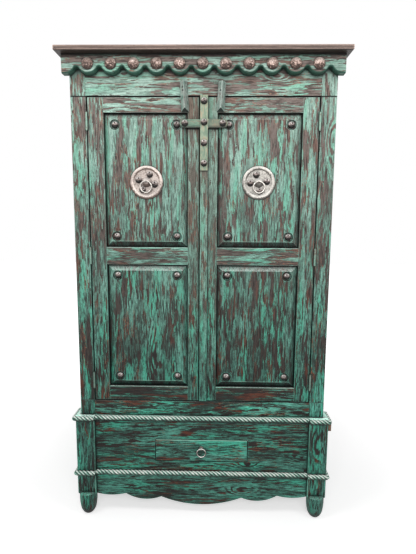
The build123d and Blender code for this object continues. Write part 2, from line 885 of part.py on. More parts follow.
    # Ridged bar, leaning in towards the meeting line at its foot
    bar_foot = Vector(side * bar_foot_offset, face_y, door_top_z - bar_below_door_top)
    bar_direction = Vector(side * sin(radians(bar_lean)), 0, cos(radians(bar_lean)))
    bar_plane = Plane(origin=bar_foot, x_dir=bar_direction.cross(Vector(0, -1, 0)) * -1, z_dir=bar_direction)
    nail_heights = left_bar_nail_heights if name == "left" else right_bar_nail_heights
    nail_tilt = side * bar_lean
    with BuildPart() as ridged_bar:
        with BuildSketch(bar_plane):
            Polygon((-bar_width / 2, 0), (bar_width / 2, 0), (0, bar_ridge), align=None)
        extrude(amount=bar_length)
        ridge = ridged_bar.edges().sort_by(Axis.Y)[0]
        fillet(ridge, bar_ridge_radius)
        split(
            bisect_by=Plane(origin=bar_foot, x_dir=(1, 0, 0), z_dir=(0, bar_cut_rise / bar_ridge, 1)),
            keep=Keep.TOP,
        )
        plank(
            (bar_foot.X - bar_width, bar_foot.X + bar_width),
            (face_y - bar_header_clearance, face_y),
            (door_top_z, door_top_z + bar_length),
            mode=Mode.SUBTRACT,
        )
        drill(
            [
                (bar_foot.X + height * sin(radians(nail_tilt)) - bar_width / 6, bar_foot.Z + height)
                for height in nail_heights
            ],
            face_y - bar_ridge,
            bar_ridge / 3 + bar_nail_hole_depth,
            bar_nail_hole_radius,
        )
    save(ridged_bar, f"{name}_ridged_bar")

# Astragal on the right door, covering the line where the doors meet
with BuildPart() as astragal:
    plank(
        (right_door_edge, right_door_edge + astragal_width),
        (iron_back_y, face_y),
        (door_bottom_z, door_top_z),
    )
    chamfer(astragal.edges().group_by(Axis.Y)[0], edge_ease)
    drill(strap_nails, iron_back_y, astragal_thickness, nail_hole_radius)
save(astragal, "astragal")

# Iron cross: the strap and right arm on the right door, the left arm on the left door
with BuildPart() as cross_strap:
    with BuildSketch(facing(iron_back_y)):
        with Locations((strap_middle, strap_top_z - strap_height / 2)):
            Rectangle(strap_width, strap_height)
        with Locations(((strap_middle + right_arm_reach) / 2, arm_z)):
            Rectangle(right_arm_reach - strap_middle, arm_width)
        corners = [
            vertex
            for vertex in vertices().group_by(Axis.X)[-2]
            if abs(vertex.Y - arm_z) < arm_width / 2 + crossing_fillet
        ]
        fillet(corners, crossing_fillet)
        fillet(vertices().group_by(Axis.X)[-1], arm_width / 2 - edge_ease)
    extrude(amount=cross_thickness)
    with BuildSketch(facing(face_y)):
        with Locations(standoffs["right"]):
            Circle(standoff_radius)
    extrude(amount=astragal_thickness)
    drill(strap_nails + [arm_nails["right"]], iron_front_y, cross_thickness, nail_hole_radius)
save(cross_strap, "cross_strap")

left_arm_end = strap_left - arm_gap
with BuildPart() as cross_left_arm:
    with BuildSketch(facing(iron_back_y)):
        with Locations(((left_arm_end - left_arm_reach) / 2, arm_z)):
            Rectangle(left_arm_end + left_arm_reach, arm_width)
        fillet(vertices().group_by(Axis.X)[0], arm_width / 2 - edge_ease)
    extrude(amount=cross_thickness)
    with BuildSketch(facing(face_y)):
        with Locations(standoffs["left"]):
            Circle(standoff_radius)
    extrude(amount=astragal_thickness)
    drill([arm_nails["left"]], iron_front_y, cross_thickness, nail_hole_radius)
save(cross_left_arm, "cross_left_arm")

# ---------------------------------------------------------------- butt hinges
hinge_levels = [door_top_z - drop for drop in hinge_drops]
hinge_axis_y = face_y - knuckle_radius - knuckle_gap
segment = hinge_height / knuckle_count
pin_hole_radius = hinge_pin_radius + hinge_pin_clearance


def hinge_leaf(side, level, on_door):
    """One leaf: a plate in the gap beside the door, and its share of the knuckles."""
    inward = -side if on_door else side
    outer = side * hinge_axis_x + inward * door_side_gap / 2
    inner = outer - inward * hinge_leaf_thickness
    plank(
        (outer, inner),
        (face_y, face_y + hinge_leaf_depth),
        (level - hinge_height / 2, level + hinge_height / 2),
    )
    for index in range(1 if on_door else 0, knuckle_count, 2):
        low = level - hinge_height / 2 + index * segment + knuckle_gap / 2
        high = low + segment - knuckle_gap
        plank((outer, inner), (hinge_axis_y, face_y), (low, high))
        with Locations((side * hinge_axis_x, hinge_axis_y, (low + high) / 2)):
            Cylinder(knuckle_radius, high - low)
    with Locations((side * hinge_axis_x, hinge_axis_y, level)):
        Cylinder(pin_hole_radius, hinge_height, mode=Mode.SUBTRACT)


for name, side in sides.items():
    with BuildPart() as door_leaves:
        for level in hinge_levels:
            hinge_leaf(side, level, on_door=True)
    save(door_leaves, f"{name}_door_hinge_leaves")

with BuildPart() as case_leaves:
    for side in sides.values():
        for level in hinge_levels:
            hinge_leaf(side, level, on_door=False)
save(case_leaves, "case_hinge_leaves")

with BuildPart() as hinge_pins:
    for side in sides.values():
        for level in hinge_levels:
            with Locations((side * hinge_axis_x, hinge_axis_y, level)):
                Cylinder(hinge_pin_radius, hinge_height)
            for end in (-1, 1):
                head_middle = level + end * (hinge_height + hinge_cap_height) / 2
                with Locations((side * hinge_axis_x, hinge_axis_y, head_middle)):
                    Cylinder(hinge_cap_radius, hinge_cap_height)
save(hinge_pins, "hinge_pins")

# ---------------------------------------------------------------- drawer
drawer_face_y = base_panel_y
drawer_front_back_y = drawer_face_y + board_thickness
half_drawer = drawer_front_width / 2
drawer_side_outer = half_drawer - drawer_side_inset
drawer_side_inner = drawer_side_outer - drawer_side_thickness
drawer_side_z = drawer_bottom_height + drawer_side_lift
drawer_top_z = drawer_side_z + drawer_side_height
drawer_end_y = drawer_front_back_y + drawer_box_length
drawer_floor_z = drawer_side_z + drawer_floor_lift
drawer_eye_z = drawer_bottom_height + drawer_front_height - drawer_eye_drop
drawer_eye_outer = drawer_ring_wire + eye_play + 2 * eye_wire
drawer_ring_y = drawer_face_y - drawer_rosette_height - eye_seat_gap - drawer_eye_outer

with BuildPart() as drawer_front:
    plank(
        (-half_drawer, half_drawer),
        (drawer_face_y, drawer_front_back_y),
        (drawer_bottom_height, drawer_bottom_height + drawer_front_height),
    )
    chamfer(drawer_front.edges().group_by(Axis.Y)[0], edge_ease)
    drill([(0, drawer_eye_z)], drawer_face_y, eye_stem_depth, eye_stem_radius + nail_clearance)
save(drawer_front, "drawer_front")

with BuildPart() as drawer_sides:
    for side in sides.values():
        plank(
            mirrored(drawer_side_outer, drawer_side_inner, side),
            (drawer_front_back_y, drawer_end_y),
            (drawer_side_z, drawer_top_z),
        )
        plank(
            mirrored(drawer_side_inner + drawer_groove_depth, drawer_side_inner, side),
            (drawer_front_back_y, drawer_end_y),
            (drawer_floor_z, drawer_floor_z + drawer_floor_thickness),
            mode=Mode.SUBTRACT,
        )
save(drawer_sides, "drawer_sides")

with BuildPart() as drawer_back:
    plank(
        (-drawer_side_inner, drawer_side_inner),
        (drawer_end_y - drawer_side_thickness, drawer_end_y),
        (drawer_floor_z + drawer_floor_thickness, drawer_top_z),
    )
save(drawer_back, "drawer_back")

with BuildPart() as drawer_floor:
    plank(
        (-drawer_side_inner - drawer_groove_depth, drawer_side_inner + drawer_groove_depth),
        (drawer_front_back_y, drawer_end_y),
        (drawer_floor_z, drawer_floor_z + drawer_floor_thickness),
    )
save(drawer_floor, "drawer_floor")

with BuildPart() as drawer_pull_eye:
    with Locations(Location((0, drawer_face_y, drawer_eye_z), (90, 0, 0))):
        Cylinder(drawer_rosette_radius, drawer_rosette_height, align=(Align.CENTER, Align.CENTER, Align.MIN))
    with Locations((0, drawer_ring_y, drawer_eye_z)):
        add(ring_eye(drawer_ring_wire, drawer_face_y - drawer_ring_y, eye_stem_depth))
save(drawer_pull_eye, "drawer_pull_eye")

with BuildPart() as drawer_ring:
    with Locations((0, drawer_ring_y, drawer_eye_z)):
        add(ring(drawer_ring_radius, drawer_ring_wire))
save(drawer_ring, "drawer_ring")

runner_top_z = drawer_side_z - runner_clearance
guide_inner = drawer_side_outer + runner_side_clearance
with BuildPart() as drawer_runners:
    for side in sides.values():
        runner_outer = drawer_side_inner + runner_width
        plank(
            mirrored(runner_outer, drawer_side_inner, side),
            (drawer_front_back_y, back_inner_y),
            (runner_top_z - runner_height, runner_top_z),
        )
        plank(
            mirrored(runner_outer, guide_inner, side),
            (drawer_front_back_y, back_inner_y),
            (runner_top_z, runner_top_z + guide_height),
        )
save(drawer_runners, "drawer_runners")
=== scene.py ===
import json
import math
import random

import bmesh
import bpy
from mathutils import Matrix, Vector

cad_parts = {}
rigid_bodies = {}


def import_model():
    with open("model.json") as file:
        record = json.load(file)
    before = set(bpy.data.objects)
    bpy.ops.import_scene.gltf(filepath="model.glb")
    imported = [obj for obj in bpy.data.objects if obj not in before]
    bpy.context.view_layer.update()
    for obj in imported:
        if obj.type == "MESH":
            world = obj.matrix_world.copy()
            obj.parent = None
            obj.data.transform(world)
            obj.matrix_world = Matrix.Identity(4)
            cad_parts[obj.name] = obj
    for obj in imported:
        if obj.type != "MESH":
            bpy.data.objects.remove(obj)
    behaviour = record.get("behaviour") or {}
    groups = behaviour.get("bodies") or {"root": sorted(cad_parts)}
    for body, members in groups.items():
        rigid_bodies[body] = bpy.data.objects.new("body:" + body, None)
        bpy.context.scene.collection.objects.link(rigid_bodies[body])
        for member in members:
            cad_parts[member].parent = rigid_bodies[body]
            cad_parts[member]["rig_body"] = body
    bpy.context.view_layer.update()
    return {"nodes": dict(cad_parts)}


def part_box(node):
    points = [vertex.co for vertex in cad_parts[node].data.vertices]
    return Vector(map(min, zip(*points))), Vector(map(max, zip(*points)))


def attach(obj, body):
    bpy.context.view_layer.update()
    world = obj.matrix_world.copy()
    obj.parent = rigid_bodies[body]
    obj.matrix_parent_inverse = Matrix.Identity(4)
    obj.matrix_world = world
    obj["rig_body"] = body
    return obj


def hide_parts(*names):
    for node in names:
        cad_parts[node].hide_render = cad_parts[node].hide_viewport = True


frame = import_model()
nodes = frame["nodes"]

# Trastero cabinet: looks. Metres, the same frame as the solids: front to -Y, up +Z.
AXES = {"x": 0, "y": 1, "z": 2}
SIDES = {"left": -1, "right": 1}
# Points closer than this are one point
MERGE_REACH = 1e-6


# ---------------- node graphs
def rgba(colour):
    """Linear colour with alpha, from an sRGB colour of 0 to 255."""
    linear = [((c / 255 + 0.055) / 1.055) ** 2.4 if c > 10 else c / 255 / 12.92 for c in colour]
    return (*linear, 1.0)


class Graph:
    """Short calls for one material's nodes. A value is a number, a tuple or a socket."""

    def __init__(self, name):
        self.material = bpy.data.materials.new(name)
        self.material.use_nodes = True
        self.tree = self.material.node_tree
        self.tree.nodes.clear()

    def node(self, kind, **settings):
        made = self.tree.nodes.new(kind)
        for key, value in settings.items():
            setattr(made, key, value)
        return made

    def feed(self, socket, value):
        """Links a socket, or sets a number, a vector or an sRGB colour of 0 to 255."""
        if isinstance(value, bpy.types.NodeSocket):
            self.tree.links.new(value, socket)
        else:
            socket.default_value = rgba(value) if socket.type == "RGBA" else value

    def position(self):
        return self.node("ShaderNodeTexCoord").outputs["Object"]

    def normal(self):
        """The way the surface faces, as x, y and z in the piece's own frame."""
        return self.axes(self.node("ShaderNodeTexCoord").outputs["Normal"])

    def upward(self):
        """1 where the surface faces up, -1 where it faces down."""
        return self.normal()[2]

    def axes(self, vector):
        made = self.node("ShaderNodeSeparateXYZ")
        self.feed(made.inputs[0], vector)
        return made.outputs

    def math(self, operation, *values, clamp=False):
        made = self.node("ShaderNodeMath", operation=operation, use_clamp=clamp)
        for socket, value in zip(made.inputs, values):
            self.feed(socket, value)
        return made.outputs[0]

    def sum(self, *values):
        total = values[0]
        for value in values[1:]:
            total = self.math("ADD", total, value)
        return total

    def times(self, a, b):
        return self.math("MULTIPLY", a, b)

    def minus(self, a, b):
        return self.math("SUBTRACT", a, b)

    def power(self, a, b):
        return self.math("POWER", a, b)

    def apart(self, value, place):
        """How far a value is from a place, either way."""
        return self.math("ABSOLUTE", self.minus(value, place))

    def radius(self, across, up):
        """Length of two distances at right angles."""
        return self.math("SQRT", self.sum(self.times(across, across), self.times(up, up)))

    def at_least(self, least, share):
        """A share of 0 to 1, taken to least to 1."""
        return self.sum(least, self.times(share, 1 - least))

    def scaled(self, vector, scale, shift=(0, 0, 0)):
        """A vector scaled by one number or by three, and shifted."""
        made = self.node("ShaderNodeMapping")
        self.feed(made.inputs["Vector"], vector)
        made.inputs["Scale"].default_value = scale if isinstance(scale, tuple) else (scale,) * 3
        made.inputs["Location"].default_value = shift
        return made.outputs[0]

    def noise(self, vector, detail=2.0, roughness=0.5, distortion=0.0):
        made = self.node("ShaderNodeTexNoise")
        self.feed(made.inputs["Vector"], vector)
        made.inputs["Scale"].default_value = 1.0
        made.inputs["Detail"].default_value = detail
        made.inputs["Roughness"].default_value = roughness
        made.inputs["Distortion"].default_value = distortion
        return made.outputs["Fac"]

    def cells(self, vector):
        """Distance to the nearest of scattered points, without creases."""
        made = self.node("ShaderNodeTexVoronoi", feature="SMOOTH_F1")
        self.feed(made.inputs["Vector"], vector)
        made.inputs["Scale"].default_value = 1.0
        return made.outputs["Distance"]

    def span(self, value, low, high, to_low=0.0, to_high=1.0, smooth=True):
        """value taken from low..high to to_low..to_high, and held there outside."""
        kind = "SMOOTHSTEP" if smooth else "LINEAR"
        made = self.node("ShaderNodeMapRange", interpolation_type=kind)
        for name, given in zip(("Value", "From Min", "From Max", "To Min", "To Max"),
                               (value, low, high, to_low, to_high)):
            self.feed(made.inputs[name], given)
        return made.outputs["Result"]

    def blend(self, share, a, b):
        """Colour a with a share of colour b."""
        made = self.node("ShaderNodeMix", data_type="RGBA")
        self.feed(made.inputs["Factor"], share)
        colour_inputs = [socket for socket in made.inputs if socket.type == "RGBA"]
        for socket, value in zip(colour_inputs, (a, b)):
            self.feed(socket, value)
        return [socket for socket in made.outputs if socket.type == "RGBA"][0]

    def ramp(self, value, *stops):
        """Colour blended along stops of (place, colour), in rising order."""
        colour = stops[0][1]
        for (low, _), (high, after) in zip(stops, stops[1:]):
            colour = self.blend(self.span(value, low, high), colour, after)
        return colour

    def ramp_value(self, value, *stops):
        """Number taken along stops of (place, number), in rising order."""
        result = stops[0][1]
        for (low, before), (high, after) in zip(stops, stops[1:]):
            result = self.sum(result, self.times(self.span(value, low, high), after - before))
        return result

    def shade(self, colour, value):
        """colour multiplied by a grey value."""
        made = self.node("ShaderNodeVectorMath", operation="SCALE")
        self.feed(made.inputs[0], colour)
        self.feed(made.inputs["Scale"], value)
        return made.outputs[0]

    def crevice(self, distance):
        """0 in corners and gaps narrower than distance, 1 in the open: a mask for painted shade."""
        made = self.node("ShaderNodeAmbientOcclusion", samples=8)
        made.inputs["Distance"].default_value = distance
        return made.outputs["AO"]

    def overhung(self, distance):
        """0 close under something that stands out from an upright face, 1 in the open: a mask for painted
        shadow.
        """
        made = self.node("ShaderNodeAmbientOcclusion", samples=8)
        made.inputs["Distance"].default_value = distance
        overhead = self.node("ShaderNodeCombineXYZ")
        overhead.inputs["Y"].default_value = -0.5
        overhead.inputs["Z"].default_value = 0.87
        self.feed(made.inputs["Normal"], overhead.outputs[0])
        return self.span(made.outputs["AO"], 0.15, 0.55)

    def edge(self, radius):
        """0 on flat faces, rising towards 1 where the surface turns within radius."""
        rounded = self.node("ShaderNodeBevel", samples=6)
        rounded.inputs["Radius"].default_value = radius
        true_normal = self.node("ShaderNodeNewGeometry").outputs["Normal"]
        facing = self.node("ShaderNodeVectorMath", operation="DOT_PRODUCT")
        self.feed(facing.inputs[0], rounded.outputs[0])
        self.feed(facing.inputs[1], true_normal)
        return self.span(facing.outputs["Value"], 0.998, 0.974)

    def surface(self, colour, roughness, height=None, depth=0.001, metallic=0.0, specular=0.5):
        """The finished material; height is embossed to a depth in metres."""
        shader = self.node("ShaderNodeBsdfPrincipled")
        self.feed(shader.inputs["Base Color"], colour)
        self.feed(shader.inputs["Roughness"], roughness)
        self.feed(shader.inputs["Metallic"], metallic)
        shader.inputs["Specular IOR Level"].default_value = specular
        if height is not None:
            bump = self.node("ShaderNodeBump")
            bump.inputs["Strength"].default_value = 1.0
            bump.inputs["Distance"].default_value = depth
            self.feed(bump.inputs["Height"], height)
            self.tree.links.new(bump.outputs[0], shader.inputs["Normal"])
        output = self.node("ShaderNodeOutputMaterial")
        self.tree.links.new(shader.outputs[0], output.inputs["Surface"])
        return self.material


# ---------------- wood
# Each finish has a darker colour for the foot of the cabinet and a paler, hazier one for its top: painted
# light and sheen falling from above.
# It changes over these heights, slowly at first
LIGHT_AND_WEAR_SPAN = (0.5, 2.0)
LIGHT_AND_WEAR_CURVE = 1.4
PAINT_DEEP = ((24, 48, 41), (132, 162, 149))
PAINT_MID = ((64, 118, 104), (158, 192, 177))
PAINT_PALE = ((92, 166, 147), (190, 220, 206))
PAINT_CLEAR = ((66, 172, 145), (144, 206, 181))
WOOD_DARK = ((9, 8, 7), (66, 58, 54))
WOOD_BROWN = ((33, 26, 22), (138, 124, 117))
WOOD_RED = ((88, 47, 33), (142, 114, 103))
SCUFF = ((166, 96, 64), (200, 144, 116))
# Painted highlight along some edges of the front, for the foot and the top
GLINT = ((170, 226, 204), (206, 236, 222))
# Pale chalk colour, partly a painted highlight where faces turn up
CHALK_AND_HIGHLIGHT = (196, 208, 202)
SCALLOP_UNDERSIDE_SHADE = (38, 94, 78)
OLIVE_WASH = (128, 133, 116)

# Patterns in the grain: repeats per metre across it and along it
DRIFT = (5.0, 1.1)
PATCHES = (9.0, 2.6)
HAZE = (11.0, 3.0)
CLOUDS = (17.0, 3.4)
SCUFFS = (19.0, 5.0)
CLEAR_STROKES = (26.0, 4.2)
RED_PATCHES = (30.0, 4.5)
FLAMES = (46.0, 7.2)
STREAKS = (120.0, 11.0)
STROKES = (220.0, 18.0)
FIBRES = (400.0, 34.0)
# Patterns without a grain: repeats per metre
FLAKES = 120.0
RAGGED = 330.0
# Growth rings per metre through the board, and how many rings drift and knots push them by
RINGS_PER_METRE = 42.0
RING_DRIFT = 11.0
KNOT_RINGS = 2.6
# Reach of the shift that gives each board a place of its own in the patterns
SHIFT_REACH = 40

# How far the level of wear moves between no paint and all paint
COVER_REACH = 0.36
# Distances from an edge that gets a painted highlight, and from a corner, a joint and an overhang that get
# painted shade
EDGE_RADIUS = 0.0035
CORNER_REACH = 0.024
SEAM_REACH = 0.005
OVERHANG_REACH = 0.018
# Distances at which a dark joint line starts to fade and is gone
SEAM_LINE = (0.0008, 0.0020)
# Heights over which the darkening at the foot ends, the chalk and its painted highlight begin, and the
# chalk and the painted highlight of upward faces fade again
FOOT_DARKENING_SPAN = (0.04, 0.13)
CHALK_AND_HIGHLIGHT_SPAN = (0.15, 0.25)
LOW_DOWN_SPAN = (1.20, 1.60)


def grain_scale(grain, across, along):
    """Mapping scale that stretches a pattern along the grain."""
    scale = [across] * 3
    scale[AXES[grain]] = along
    return tuple(scale)


class Wood:
    """Grain of one board: rings, streaks, fibres and knots, all as node sockets."""

    def __init__(self, g, grain, seed, knots=()):
        self.g = g
        self.grain = grain
        draw = random.Random(seed)
        self.shift = tuple(draw.uniform(-SHIFT_REACH, SHIFT_REACH) for _ in range(3))
        self.point = g.position()
        self.swirl, self.core = self.knotted(knots)
        self.bands = self.ringed()
        self.flames = self.noise(FLAMES, roughness=0.55, distortion=0.3)
        self.streaks = self.noise(STREAKS, roughness=0.6, distortion=0.2)
        self.strokes = self.noise(STROKES, roughness=0.6, distortion=0.1)
        self.fibres = self.noise(FIBRES, roughness=0.6)
        self.patches = self.noise(PATCHES)
        self.flakes = g.noise(g.scaled(self.point, FLAKES, self.shift), detail=3.0, roughness=0.6)
        self.ragged = g.noise(g.scaled(self.point, RAGGED, self.shift), roughness=0.6)

    def noise(self, scale, **settings):
        g = self.g
        return g.noise(g.scaled(self.point, grain_scale(self.grain, *scale), self.shift), **settings)

    def knotted(self, knots):
        """Pull of the knots on the rings round them, and their dark middles."""
        g = self.g
        parts = g.axes(self.point)
        across = parts[AXES["x" if self.grain == "z" else "z"]]
        along = parts[AXES[self.grain]]
        swirl, core = 0.0, 0.0
        for knot_across, knot_along, size, solid in knots:
            reach_across = g.times(g.minus(across, knot_across), 1 / size)
            reach_along = g.times(g.minus(along, knot_along), 1 / size)
            square_across = g.times(reach_across, reach_across)
            square_along = g.times(reach_along, reach_along)
            around = g.sum(square_across, g.times(square_along, 0.15))
            middle = g.sum(square_across, g.times(square_along, 0.60))
            swirl = g.sum(swirl, g.power(math.e, g.times(around, -0.40)))
            core = g.sum(core, g.times(g.power(math.e, g.times(middle, -3.0)), solid))
        return swirl, core

    def ringed(self):
        """Growth rings through the board, bent by a slow drift and by the knots."""
        g = self.g
        parts = g.axes(self.point)
        through = g.sum(*[parts[axis] for name, axis in AXES.items() if name != self.grain])
        rings = g.sum(
            g.times(through, RINGS_PER_METRE),
            g.times(self.noise(DRIFT), RING_DRIFT),
            g.times(self.swirl, KNOT_RINGS),
        )
        return g.at_least(0.5, g.math("SINE", g.times(rings, math.tau)))


class PaintedWood(Wood):
    """Wood under green paint, darker at the foot of the cabinet and paler at its top: painted light falling
    from above.
    """

    def __init__(self, g, grain, seed, knots):
        super().__init__(g, grain, seed, knots)
        self.height = g.axes(self.point)[2]
        # This height share sets the painted fall of light on the colours and how the wear changes
        self.light_and_wear = g.power(g.span(self.height, *LIGHT_AND_WEAR_SPAN, smooth=False), LIGHT_AND_WEAR_CURVE)
        self.cloud = self.noise(CLOUDS, detail=3.0)
        self.edge = g.edge(EDGE_RADIUS)
        # Mask for painted shade in narrow joints
        self.seam = g.power(g.crevice(SEAM_REACH), 3.0)
        self.low_down = g.span(self.height, *LOW_DOWN_SPAN, 1.0, 0.25)

    def lit_by_height(self, pair):
        """A (foot, top) pair of colours, blended by height: the painted fall of light from above."""
        return self.g.blend(self.light_and_wear, *pair)

    def by_height(self, foot, top):
        """A number that goes evenly from foot to top with the height share of light and wear."""
        return self.g.span(self.light_and_wear, 0.0, 1.0, foot, top, smooth=False)

    def swing(self, value, amount):
        """A pattern about its middle value, times an amount or a (foot, top) pair of amounts."""
        if isinstance(amount, tuple):
            amount = self.by_height(*amount)
        return self.g.times(self.g.minus(value, 0.5), amount)

    def from_plane(self, axis, place):
        """Distance from the plane at a place on an axis."""
        g = self.g
        return g.apart(g.axes(self.point)[AXES[axis]], place)

    def worn_past(self, cover):
        """How far the wear is past the paint: thin streaks low down, broader ones above."""
        g = self.g
        wear = g.sum(
            0.5,
            self.swing(self.flames, (0.60, 0.85)),
            self.swing(self.streaks, (0.95, 0.85)),
            self.swing(self.strokes, (0.74, 0.44)),
            self.swing(self.flakes, (0.16, 0.24)),
            self.swing(self.patches, (0.38, 0.62)),
            self.swing(self.ragged, (0.20, 0.18)),
            g.times(self.swirl, self.swing(self.bands, 0.60)),
            g.times(self.core, 0.5),
        )
        levels = [0.5 + (share - 0.5) * COVER_REACH for share in cover]
        return g.minus(wear, self.by_height(*levels))

    def paint(self, edge_highlight):
        """Strokes of three tones and clear green, hazed and furrowed, with a painted highlight at the
        edges.
        """
        g = self.g
        stroke = g.sum(
            0.5,
            self.swing(self.strokes, 0.75),
            self.swing(self.streaks, 0.35),
            self.swing(self.cloud, 0.50),
            self.swing(self.flakes, 0.25),
        )
        colour = g.ramp(
            stroke,
            (0.37, self.lit_by_height(PAINT_DEEP)),
            (0.49, self.lit_by_height(PAINT_MID)),
            (0.61, self.lit_by_height(PAINT_PALE)),
        )
        clear = g.span(self.noise(CLEAR_STROKES, detail=3.0), 0.48, 0.62, 0.0, 0.85)
        clear = g.times(clear, g.span(stroke, 0.40, 0.50, 0.15, 1.0))
        colour = g.blend(clear, colour, self.lit_by_height(PAINT_CLEAR))
        haze = g.span(self.noise(HAZE), 0.50, 0.72, 0.0, 0.18)
        colour = g.blend(haze, colour, self.lit_by_height(WOOD_BROWN))
        depth = g.span(self.light_and_wear, 0.0, 1.0, 0.85, 0.22)
        furrows = g.times(g.span(self.strokes, 0.44, 0.37), depth)
        colour = g.blend(furrows, colour, self.lit_by_height(WOOD_DARK))
        return g.blend(g.times(self.edge, edge_highlight), colour, self.lit_by_height(PAINT_PALE))

    def bare(self, past):
        """Brown wood with red patches, dark lines and a scuffed rim next to the paint."""
        g = self.g
        red = g.span(self.noise(RED_PATCHES), 0.50, 0.62)
        colour = g.blend(red, self.lit_by_height(WOOD_BROWN), self.lit_by_height(WOOD_RED))
        lines = g.span(self.strokes, 0.48, 0.62, 0.0, 0.85)
        colour = g.blend(lines, colour, self.lit_by_height(WOOD_DARK))
        rim = g.span(g.apart(past, 0.016), 0.030, 0.0)
        scuffed = g.times(rim, g.span(self.noise(SCUFFS), 0.55, 0.64, 0.0, 0.85))
        return g.blend(scuffed, colour, self.lit_by_height(SCUFF))

    def shade_and_joints(self, seams, lobes, flush):
        """Painted shade of corners, joints, undersides and overhangs, darker towards the very foot, and
        dark lines at the given planes; 1 in the open.
        """
        g = self.g
        corner = g.power(g.crevice(CORNER_REACH), 1.7)
        under = g.span(g.upward(), -0.50, -0.06, 0.85 if lobes else 0.12, 1.0)
        shade = g.times(g.at_least(0.12, corner), g.at_least(0.65 if flush else 0.03, self.seam))
        shade = g.times(g.times(shade, under), g.at_least(0.15, g.overhung(OVERHANG_REACH)))
        shade = g.times(shade, g.span(self.height, *FOOT_DARKENING_SPAN, 0.62, 1.0))
        for axis, place in seams:
            shade = g.times(shade, g.span(self.from_plane(axis, place), *SEAM_LINE, 0.10, 1.0))
        return shade

    def add_chalk_and_highlight(self, colour):
        """Pale chalky colour along the upward bevels and edges, low on the cabinet, partly a painted
        highlight where they face up.
        """
        g = self.g
        mottled = g.sum(g.times(self.flakes, 0.4), g.times(self.ragged, 0.6))
        lying = g.times(g.span(g.upward(), 0.12, 0.34), self.seam)
        chalk_and_highlight = g.times(lying, g.span(mottled, 0.40, 0.60, 0.12, 0.62))
        chalk_and_highlight = g.times(chalk_and_highlight, g.span(self.height, *CHALK_AND_HIGHLIGHT_SPAN, 0.25, 1.0))
        return g.blend(g.times(chalk_and_highlight, self.low_down), colour, CHALK_AND_HIGHLIGHT)

    def glinting(self, colour, glints):
        """Painted highlights in broken lines along the front, at the given planes."""
        g = self.g
        facing_back = g.normal()[1]
        for axis, place, reach, strength in glints:
            line = g.span(self.from_plane(axis, place), reach * 0.6, reach, strength, 0.0)
            broken = g.times(line, g.span(self.cloud, 0.34, 0.54, 0.2, 1.0))
            on_front = g.times(broken, g.span(facing_back, -0.97, -0.99))
            colour = g.blend(on_front, colour, self.lit_by_height(GLINT))
        return colour


def painted_wood(name, grain, seed, cover, tone, knots, seams, glints, edge_highlight, wash, lobes):
    """Green paint dragged over dark wood and rubbed through.

    cover is the share still painted, low down and high up; seams are the planes of dark joints and
    of painted shadow lines, glints the edges given painted highlights, edge_highlight the share of
    painted highlight on the edges (0 for boards flush with their neighbours), wash the share of olive
    over the top. lobes is true where a scalloped underside shows, its downward faces in painted shade.
    """
    g = Graph(name)
    wood = PaintedWood(g, grain, seed, knots)
    past = wood.worn_past(cover)
    rubbed_and_lit = g.span(past, -0.003, 0.010)
    colour = g.blend(rubbed_and_lit, wood.paint(edge_highlight), wood.bare(past))
    # Painted highlight along the edges
    colour = g.blend(g.times(wood.edge, edge_highlight / 2), colour, wood.lit_by_height(PAINT_PALE))
    outline = g.span(g.math("ABSOLUTE", past), 0.012, 0.0, 0.0, 0.55)
    colour = g.blend(outline, colour, wood.lit_by_height(WOOD_DARK))
    if wash:
        colour = g.blend(g.times(wood.light_and_wear, wash), colour, OLIVE_WASH)
    pores = g.span(g.sum(wood.fibres, wood.swing(wood.ragged, 0.3)), 0.58, 0.66, 0.0, 0.60)
    colour = g.blend(g.math("ADD", pores, wood.core, clamp=True), colour, wood.lit_by_height(WOOD_DARK))
    if lobes:
        # Painted shade: the scallops' downward faces go dark teal
        colour = g.blend(g.span(g.upward(), -0.10, -0.45, 0.0, 0.85), colour, SCALLOP_UNDERSIDE_SHADE)
    colour = wood.add_chalk_and_highlight(colour)
    lit = g.sum(1.0, g.times(g.span(g.upward(), 0.10, 0.36, 0.0, 0.4), wood.low_down))
    speckle = g.span(wood.ragged, 0.34, 0.66, 0.84, 1.13)
    shade_and_joints = wood.shade_and_joints(seams, lobes, flush=edge_highlight == 0)
    colour = g.shade(colour, g.times(g.times(shade_and_joints, lit), g.times(speckle, tone)))
    colour = wood.glinting(colour, glints)
    height = g.sum(
        g.times(rubbed_and_lit, -0.30),
        g.times(wood.strokes, 0.8),
        g.times(wood.fibres, 0.5),
        g.times(pores, -0.6),
        g.times(wood.ragged, 0.15),
    )
    roughness = g.sum(0.42, g.times(rubbed_and_lit, 0.10), g.times(wood.patches, 0.12))
    return g.surface(colour, roughness, height, depth=0.0016, specular=0.28)


